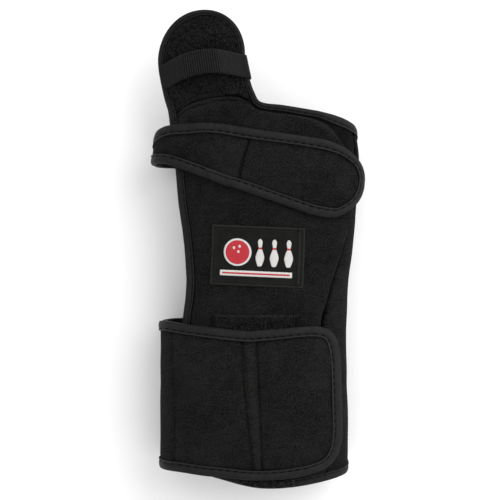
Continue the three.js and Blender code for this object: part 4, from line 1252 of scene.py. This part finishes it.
def embroidered(name, middle, low, tall, profile, level, material):
    """A raised patch of thread: profile holds shares of its height, up and to either side."""
    rows = [[[LABEL_SHIFT + middle + side * half * tall, LABEL_UP + low + up * tall]
             for side in (-1, 0, 1)] for up, half in profile]
    base = label_top + level
    patch = shell(name, askew(rows), base - 0.35, base + 0.25, material, 0.35, 0.45)
    padded(patch, 0.2, "label_cloth")


def bar(half):
    return [(up, half) for up in (0.0, 0.5, 1.0)]


PIN = [(0.0, 0.06), (0.04, 0.085), (0.16, 0.128), (0.3, 0.159), (0.4, 0.148), (0.52, 0.11),
       (0.63, 0.068), (0.7, 0.062), (0.78, 0.075), (0.88, 0.086), (0.95, 0.066), (0.985, 0.035),
       (1.0, 0.012)]
DISC = [(0.5 - 0.5 * math.cos(a), max(0.02, 0.5 * math.sin(a)))
        for a in np.linspace(0, math.pi, 13)]
BALL_AT, PINS_AT, MOTIF_FOOT, MOTIF_TALL = -12.0, (1.2, 9.6, 18.0), -6.0, 16.4
embroidered("label_ball_edge", BALL_AT, MOTIF_FOOT - 0.2, MOTIF_TALL, DISC, 0.0, WHITE_SATIN)
embroidered("label_ball", BALL_AT, MOTIF_FOOT + 0.9, MOTIF_TALL - 2.2, DISC, 0.2, RED_SATIN)
for k, (across, up) in enumerate([(-14.2, 3.6), (-10.9, 4.6), (-11.6, 1.4)], 1):
    embroidered(f"label_ball_hole_{k}", across, up, 1.8, DISC, 0.4, WHITE_SATIN)
for k, middle in enumerate(PINS_AT, 1):
    embroidered(f"label_pin_{k}", middle, MOTIF_FOOT, MOTIF_TALL, PIN, 0.0, WHITE_SATIN)
    embroidered(f"label_pin_band_{k}", middle, MOTIF_FOOT + 10.2, 1.3, bar(0.875), 0.2, RED_SATIN)
embroidered("label_lane", -0.6, -12.2, 3.4, bar(6.2), 0.0, WHITE_SATIN)
embroidered("label_lane_line", -0.6, -11.1, 1.2, bar(16.5), 0.2, RED_SATIN)


# Loop patch on the cuff, with a woven edge down each side
def loop_relief(s, y, edges):
    from_side = LOOP_WIDTH / 2 - np.abs(s - LOOP_SHIFT)
    pile = step(from_side - LOOP_EDGE, 0.2) * step(edges.high - 0.9, 0.2)
    return pile * (0.35 + 0.1 * ripple(s, y, 12, 3.0, 40) + 0.07 * ripple(s, y, 14, 1.6, 60)), 0


loop_top = PATCH_INNER + LOOP_THICK
loops = shell("cuff_pile", loop_rows, PATCH_INNER - SHELL_SINK, loop_top - 0.5, PILE, 0.8, 0.6,
              loop_relief)
sheet(loops, LOOP_WIDTH, LOOP_TOP, "laid", "front_pad_cloth", "loop_cloth", "cuff_loop_patch")
for side_name, way in (("left", -1), ("right", 1)):
    middle = LOOP_SHIFT + way * (LOOP_WIDTH - LOOP_EDGE) / 2
    rows = flat(middle, LOOP_EDGE, np.linspace(12, LOOP_TOP - 0.3, 6), 2)
    woven = shell(f"cuff_pile_edge_{side_name}", rows, PATCH_INNER, loop_top, HOOK_EDGE, 0.7, 0.35)
    padded(woven, 0.1, "loop_cloth")

# Its lower end laps over the rim tape
end_sides = LOOP_SHIFT - LOOP_WIDTH / 2 + 0.5, LOOP_SHIFT + LOOP_WIDTH / 2 - 3.5
foot_line = [(s, cuff_edge(form.share(s, 0.0))) for s in np.linspace(*end_sides, 9)]
end_rows = [[(s, y + up) for s, y in foot_line] for up in (0.4, 1.6, 3.0, BINDING_WIDTH + 0.4)]
LOOP_END_TOP = BOUND + 0.7
loop_end = shell("cuff_pile_end", end_rows, BOUND + 0.1, LOOP_END_TOP, PILE_END, 0.6, 0.4,
                 loop_relief)
padded(loop_end, 0.1, "loop_cloth")

# Sewn lines on the straps, from their lower to their upper ends
PALM_SEAM = [spot(-0.0351, 188.1), spot(-0.0163, 207.4)]
CHANNEL_LEFT = [spot(-0.0037, 12.1), spot(-0.0168, 44.0), spot(-0.0242, 65.0), spot(-0.0259, 87.1)]
CHANNEL_RIGHT = [spot(0.017, 11.6), spot(0.0096, 64.4), spot(0.0061, 87.1)]
CUFF_SEAM = [spot(-0.1744, 15.7), spot(-0.1723, 49), spot(-0.1803, 87.7)]
# Shares round where a strap is no longer held flat and where it swells, and how fast that changes
HELD_UP_TO, CROWN_FROM, SHARE_STEP = -0.2, -0.185, 0.012


def near_seams(s, y, edges, seams):
    held = 1 - np.clip((edges.near - STRAP_BINDING_WIDTH - 2.5) / 5, 0, 1)
    for seam in seams:
        held = np.maximum(held, bell(from_line(s, y, seam), 1.6))
    return np.maximum(held, step(HELD_UP_TO - form.share(s, y), SHARE_STEP))


def crowned(s, y, edges, height, reach):
    """A strap's face swells between its tapes, where it lies on the front."""
    on_front = step(form.share(s, y) - CROWN_FROM, SHARE_STEP)
    past_tape = np.clip(edges.near - STRAP_BINDING_WIDTH - 0.6, 0, None)
    return height * on_front * np.tanh(past_tape / reach)


# Painted shade on the strap's cloth just inside its tapes
def painted_shade_beside_tape(edges):
    return 0.35 * bell(edges.near - TAPE_EDGE, 0.9)


def palm_strap_relief(s, y, edges):
    sewn = bell(from_line(s, y, PALM_SEAM), 0.7)
    face = crowned(s, y, edges, 0.6, 5) + 0.14 * ripple(s, y, 31, 24) - 0.75 * sewn
    # Painted shade along the seam and beside the tapes
    return face, 0.8 * sewn + painted_shade_beside_tape(edges)


def cuff_strap_relief(s, y, edges):
    left, right = from_line(s, y, CHANNEL_LEFT), from_line(s, y, CHANNEL_RIGHT)
    middle, seam = (left + right) / 2, from_line(s, y, CUFF_SEAM)
    ridge = bell(middle, 2.6)
    dip = -0.8 * bell(middle, 7.5) + 0.5 * ridge
    sewn = bell(left, 0.8) + bell(right, 0.8) + bell(seam, 0.8)
    face = crowned(s, y, edges, 0.6, 6) + dip - 0.45 * sewn + 0.14 * ripple(s, y, 33, 28)
    # Painted shade along the sewn lines and beside the tapes; painted highlight on the channel's
    # ridge
    return face, 0.25 * sewn + painted_shade_beside_tape(edges) - 0.25 * ridge


def strap_piece(strap, name, node, seams, relief, seed):
    inner, outer = strap.above(EDGE_SET_BACK), strap.above(EDGE_SET_BACK, STRAP)
    sewn = lambda s, y, edges: near_seams(s, y, edges, seams)
    moves = settle(strap.rows, outer, sewn, swell=0.01, most=0.8, spacing=2.8)
    cloth = shell(name, strap.rows, inner, outer, STRAP_CLOTH, 1.0, 1.2, relief, moves)
    padded(cloth, 0.4, "strap_cloth", node)
    tape = binding(name + "_tape", strap.edge, strap.lift, STRAP_BOUND, False, TAPE_CLOTH, seed)
    tape_sheet(tape, STRAP_BINDING_WIDTH, STRAP_BOUND, strap.edge, name, node + "_binding")


strap_piece(palm_strap, "palm_strap_cloth", "palm_strap", [PALM_SEAM], palm_strap_relief, 51)
strap_piece(cuff_strap, "cuff_strap_cloth", "cuff_strap", [CHANNEL_LEFT, CHANNEL_RIGHT, CUFF_SEAM],
            cuff_strap_relief, 61)

# The palm strap's tape ends over its own start, on the lower edge
lap = resample(palm_strap.edge[-len(PALM_STRAP_ROWS):], TAPE_SPACING, False, TAPE_SOFTEN)
lap = inset(lap[(lap[:, 0] > TAPE_LAP[0]) & (lap[:, 0] < TAPE_LAP[1])], -TAPE, False)
lapped = binding("palm_strap_tape_end", lap, palm_strap.above(-0.15), STRAP_BOUND + 0.6, False,
                 TAPE_CLOTH, 71, 0.0, LAP_SLANT)
tape_sheet(lapped, STRAP_BINDING_WIDTH, STRAP_BOUND, lap, "palm_strap_cloth_tape")

# Finger elastic: a band that arches over the tab and turns round its right edge
elastic_base = BOUND + GAP + ELASTIC_THICK / 2
elastic_under = -2 * GAP - ELASTIC_THICK / 2
# Points to smooth over, points across, and where the underside's cloth places start
BAND_SMOOTHING, BAND_COLUMNS, BAND_UNDER = 6, 13, 30
turn_up = on_tab(0.39)
turn_s = float(np.interp(turn_up, tab_right[:, 1], tab_right[:, 0]))
elastic_path = [(form.round_at(TAB_OFFSET + share * TAB_WIDTH, y), y,
                 elastic_base + rise * ELASTIC_RISE, slant)
                for share, y, rise, slant in ELASTIC_ROWS]
elastic_path += [(s, turn_up, depth, 1) for s, depth in (
    (turn_s + 2 * GAP, elastic_base), (turn_s + 2 * GAP + ELASTIC_THICK / 2, BOUND / 2),
    (turn_s + 2 * GAP, elastic_under), (turn_s - TAB_BINDING_WIDTH, elastic_under),
    (turn_s - ELASTIC_TURN, elastic_under))]
elastic_path = np.array(elastic_path)
keys = distances(elastic_path[:, [0, 2]])
along = np.linspace(0, keys[-1], int(keys[-1] / (RIB_PITCH / 4)))
band = np.stack([np.interp(along, keys, elastic_path[:, k]) for k in range(4)], 1)
weights = np.hanning(2 * BAND_SMOOTHING + 3)[1:-1]
weights /= weights.sum()
ended = np.concatenate([band[:1].repeat(BAND_SMOOTHING, axis=0), band,
                        band[-1:].repeat(BAND_SMOOTHING, axis=0)])
band = np.stack([np.convolve(part, weights, "valid") for part in ended.T], 1)
run = np.gradient(band, axis=0)[:, [0, 2]]
run /= np.linalg.norm(run, axis=1, keepdims=True)
ribbed = np.interp(along, [*RIBS_START, *RIBS_END], [0, 1, 1, 0])
rib = 0.16 * ribbed * np.sin(2 * np.pi * along / RIB_PITCH)
tab_side = [line[np.argsort(line[:, 1])] for line in (tab_left, tab_right)]
left_half = along < keys[len(ELASTIC_ROWS) // 2]


def slanted(y):
    """How far the band's points shift round, to run along the tab's edges."""
    shifts = [np.interp(y, line[:, 1], line[:, 0]) - np.interp(band[:, 1], line[:, 1], line[:, 0])
              for line in tab_side]
    return band[:, 3] * np.where(left_half, *shifts)


columns, across = [], []
section = [(w * way, way) for way in (1, -1) for w in np.linspace(-1, 1, BAND_COLUMNS)]
for w, side_of in section + section[:1]:
    out = side_of * (ELASTIC_THICK / 2 * (1 - 0.55 * abs(w) ** 8) + rib)
    y = band[:, 1] + w * ELASTIC_WIDTH / 2
    s = band[:, 0] + slanted(y) - out * run[:, 1]
    columns.append(form.place(s, y, band[:, 2] + out * run[:, 0]))
    across.append(w * ELASTIC_WIDTH / 2 + (BAND_UNDER if side_of < 0 else 0))
elastic = tube("finger_band", columns, along, across, ELASTIC)
sheet(elastic, ELASTIC_WIDTH, keys[-1], "stretched", "tab_pile", "elastic", "finger_elastic")

# Sewing: stitches by their pitch, and the thread's length, width and height
STRAP_STITCH, RIM_STITCH = (STITCH_PITCH, 2.6, 0.9, 0.4), (STITCH_PITCH, 2.6, 0.6, 0.4)
SEAM_STITCH, LABEL_STITCH = (1.9, 1.45, 0.6, 0.4), (2.3, 1.5, 0.4, 0.3)
LOOP_STITCH, LOOP_END_STITCH = (1.5, 0.9, 0.4, 0.3), (1.1, 0.8, 1.8, 0.3)
ELASTIC_STITCH = (1.3, 0.8, 0.35, 0.25)
STITCH_SINK, SEAM_SINK = -0.22, -0.1


def tape_seam(edge, closed):
    line = tape_line(edge, closed)
    return inset(line, SEWN_SHARE * (line[:, 2] + TAPE_STAND), closed)


dark_runs = [(tape_seam(strap.edge, False), strap.above(STRAP_BOUND, STITCH_SINK), *STRAP_STITCH)
             for strap in (palm_strap, cuff_strap)]
dark_runs.append((tape_seam(corner_rim, True), BOUND + STITCH_SINK, *RIM_STITCH))
dark_runs += [(seam, cuff_strap.above(EDGE_SET_BACK, STRAP, SEAM_SINK), *SEAM_STITCH)
              for seam in (CHANNEL_LEFT, CHANNEL_RIGHT, CUFF_SEAM)]
# Round the label, twice, since its doubled right end has a second line
left, tall = LABEL_SHIFT - LABEL_WIDTH / 2 + LABEL_SEWN, LABEL_LENGTH / 2 - LABEL_SEWN
low, high = LABEL_UP - tall, LABEL_UP + tall
for right_inset in (LABEL_SEWN, LABEL_DOUBLE - LABEL_DOUBLE_SEWN):
    right = LABEL_SHIFT + LABEL_WIDTH / 2 - right_inset
    box = [(left, high), (right, high), (right, low), (left, low), (left, high)]
    dark_runs.append((askew(box), label_top, *LABEL_STITCH))
placed(sewing("dark_stitching", dark_runs, THREAD), "binding_tape")

loop_sides = LOOP_SHIFT - LOOP_WIDTH / 2 + 2, LOOP_SHIFT + LOOP_WIDTH / 2 - 0.5
band_end = band[0, 0] + 1.2, band[0, 1]
end_foot = foot_line[-1][1]
pale_runs = [([(s, LOOP_TOP - 0.6) for s in loop_sides], loop_top - 0.1, *LOOP_STITCH),
             ([(band_end[0] - 0.5, band_end[1] - 6), (band_end[0] + 0.7, band_end[1] + 6)],
              elastic_base + ELASTIC_THICK / 2 + 0.05, *ELASTIC_STITCH),
             ([(end_sides[1], end_foot + 0.6), (end_sides[1], end_foot + BINDING_WIDTH)],
              LOOP_END_TOP, *LOOP_END_STITCH)]
placed(sewing("pale_stitching", pale_runs, PALE_THREAD), "binding_tape")

# Table and light
bm = bmesh.new()
bmesh.ops.create_grid(bm, x_segments=1, y_segments=1, size=TABLE_REACH)
table = Finish("pale table", Roughness=0.9, Specular_IOR_Level=0.1)
table.set("Base Color", (TABLE_WHITE, TABLE_WHITE, TABLE_WHITE, 1))
floor = make_object("table", bm, table.material, smooth=False)

world = bpy.data.worlds.new("studio")
bpy.context.scene.world = world
world.use_nodes = True
world.node_tree.nodes["Background"].inputs[0].default_value = (1, 1, 1, 1)
world.node_tree.nodes["Background"].inputs[1].default_value = SKY_LIGHT

light = bpy.data.lights.new("key", "AREA")
light.shape, light.size, light.energy = "DISK", LAMP_SIZE, LAMP_POWER
lamp = bpy.data.objects.new("key", light)
lamp.location = LAMP_AT
lamp.rotation_euler = (Vector(LAMP_AIM) - Vector(LAMP_AT)).to_track_quat("-Z", "Y").to_euler()
bpy.context.scene.collection.objects.link(lamp)
bpy.context.scene.view_settings.view_transform = "Standard"
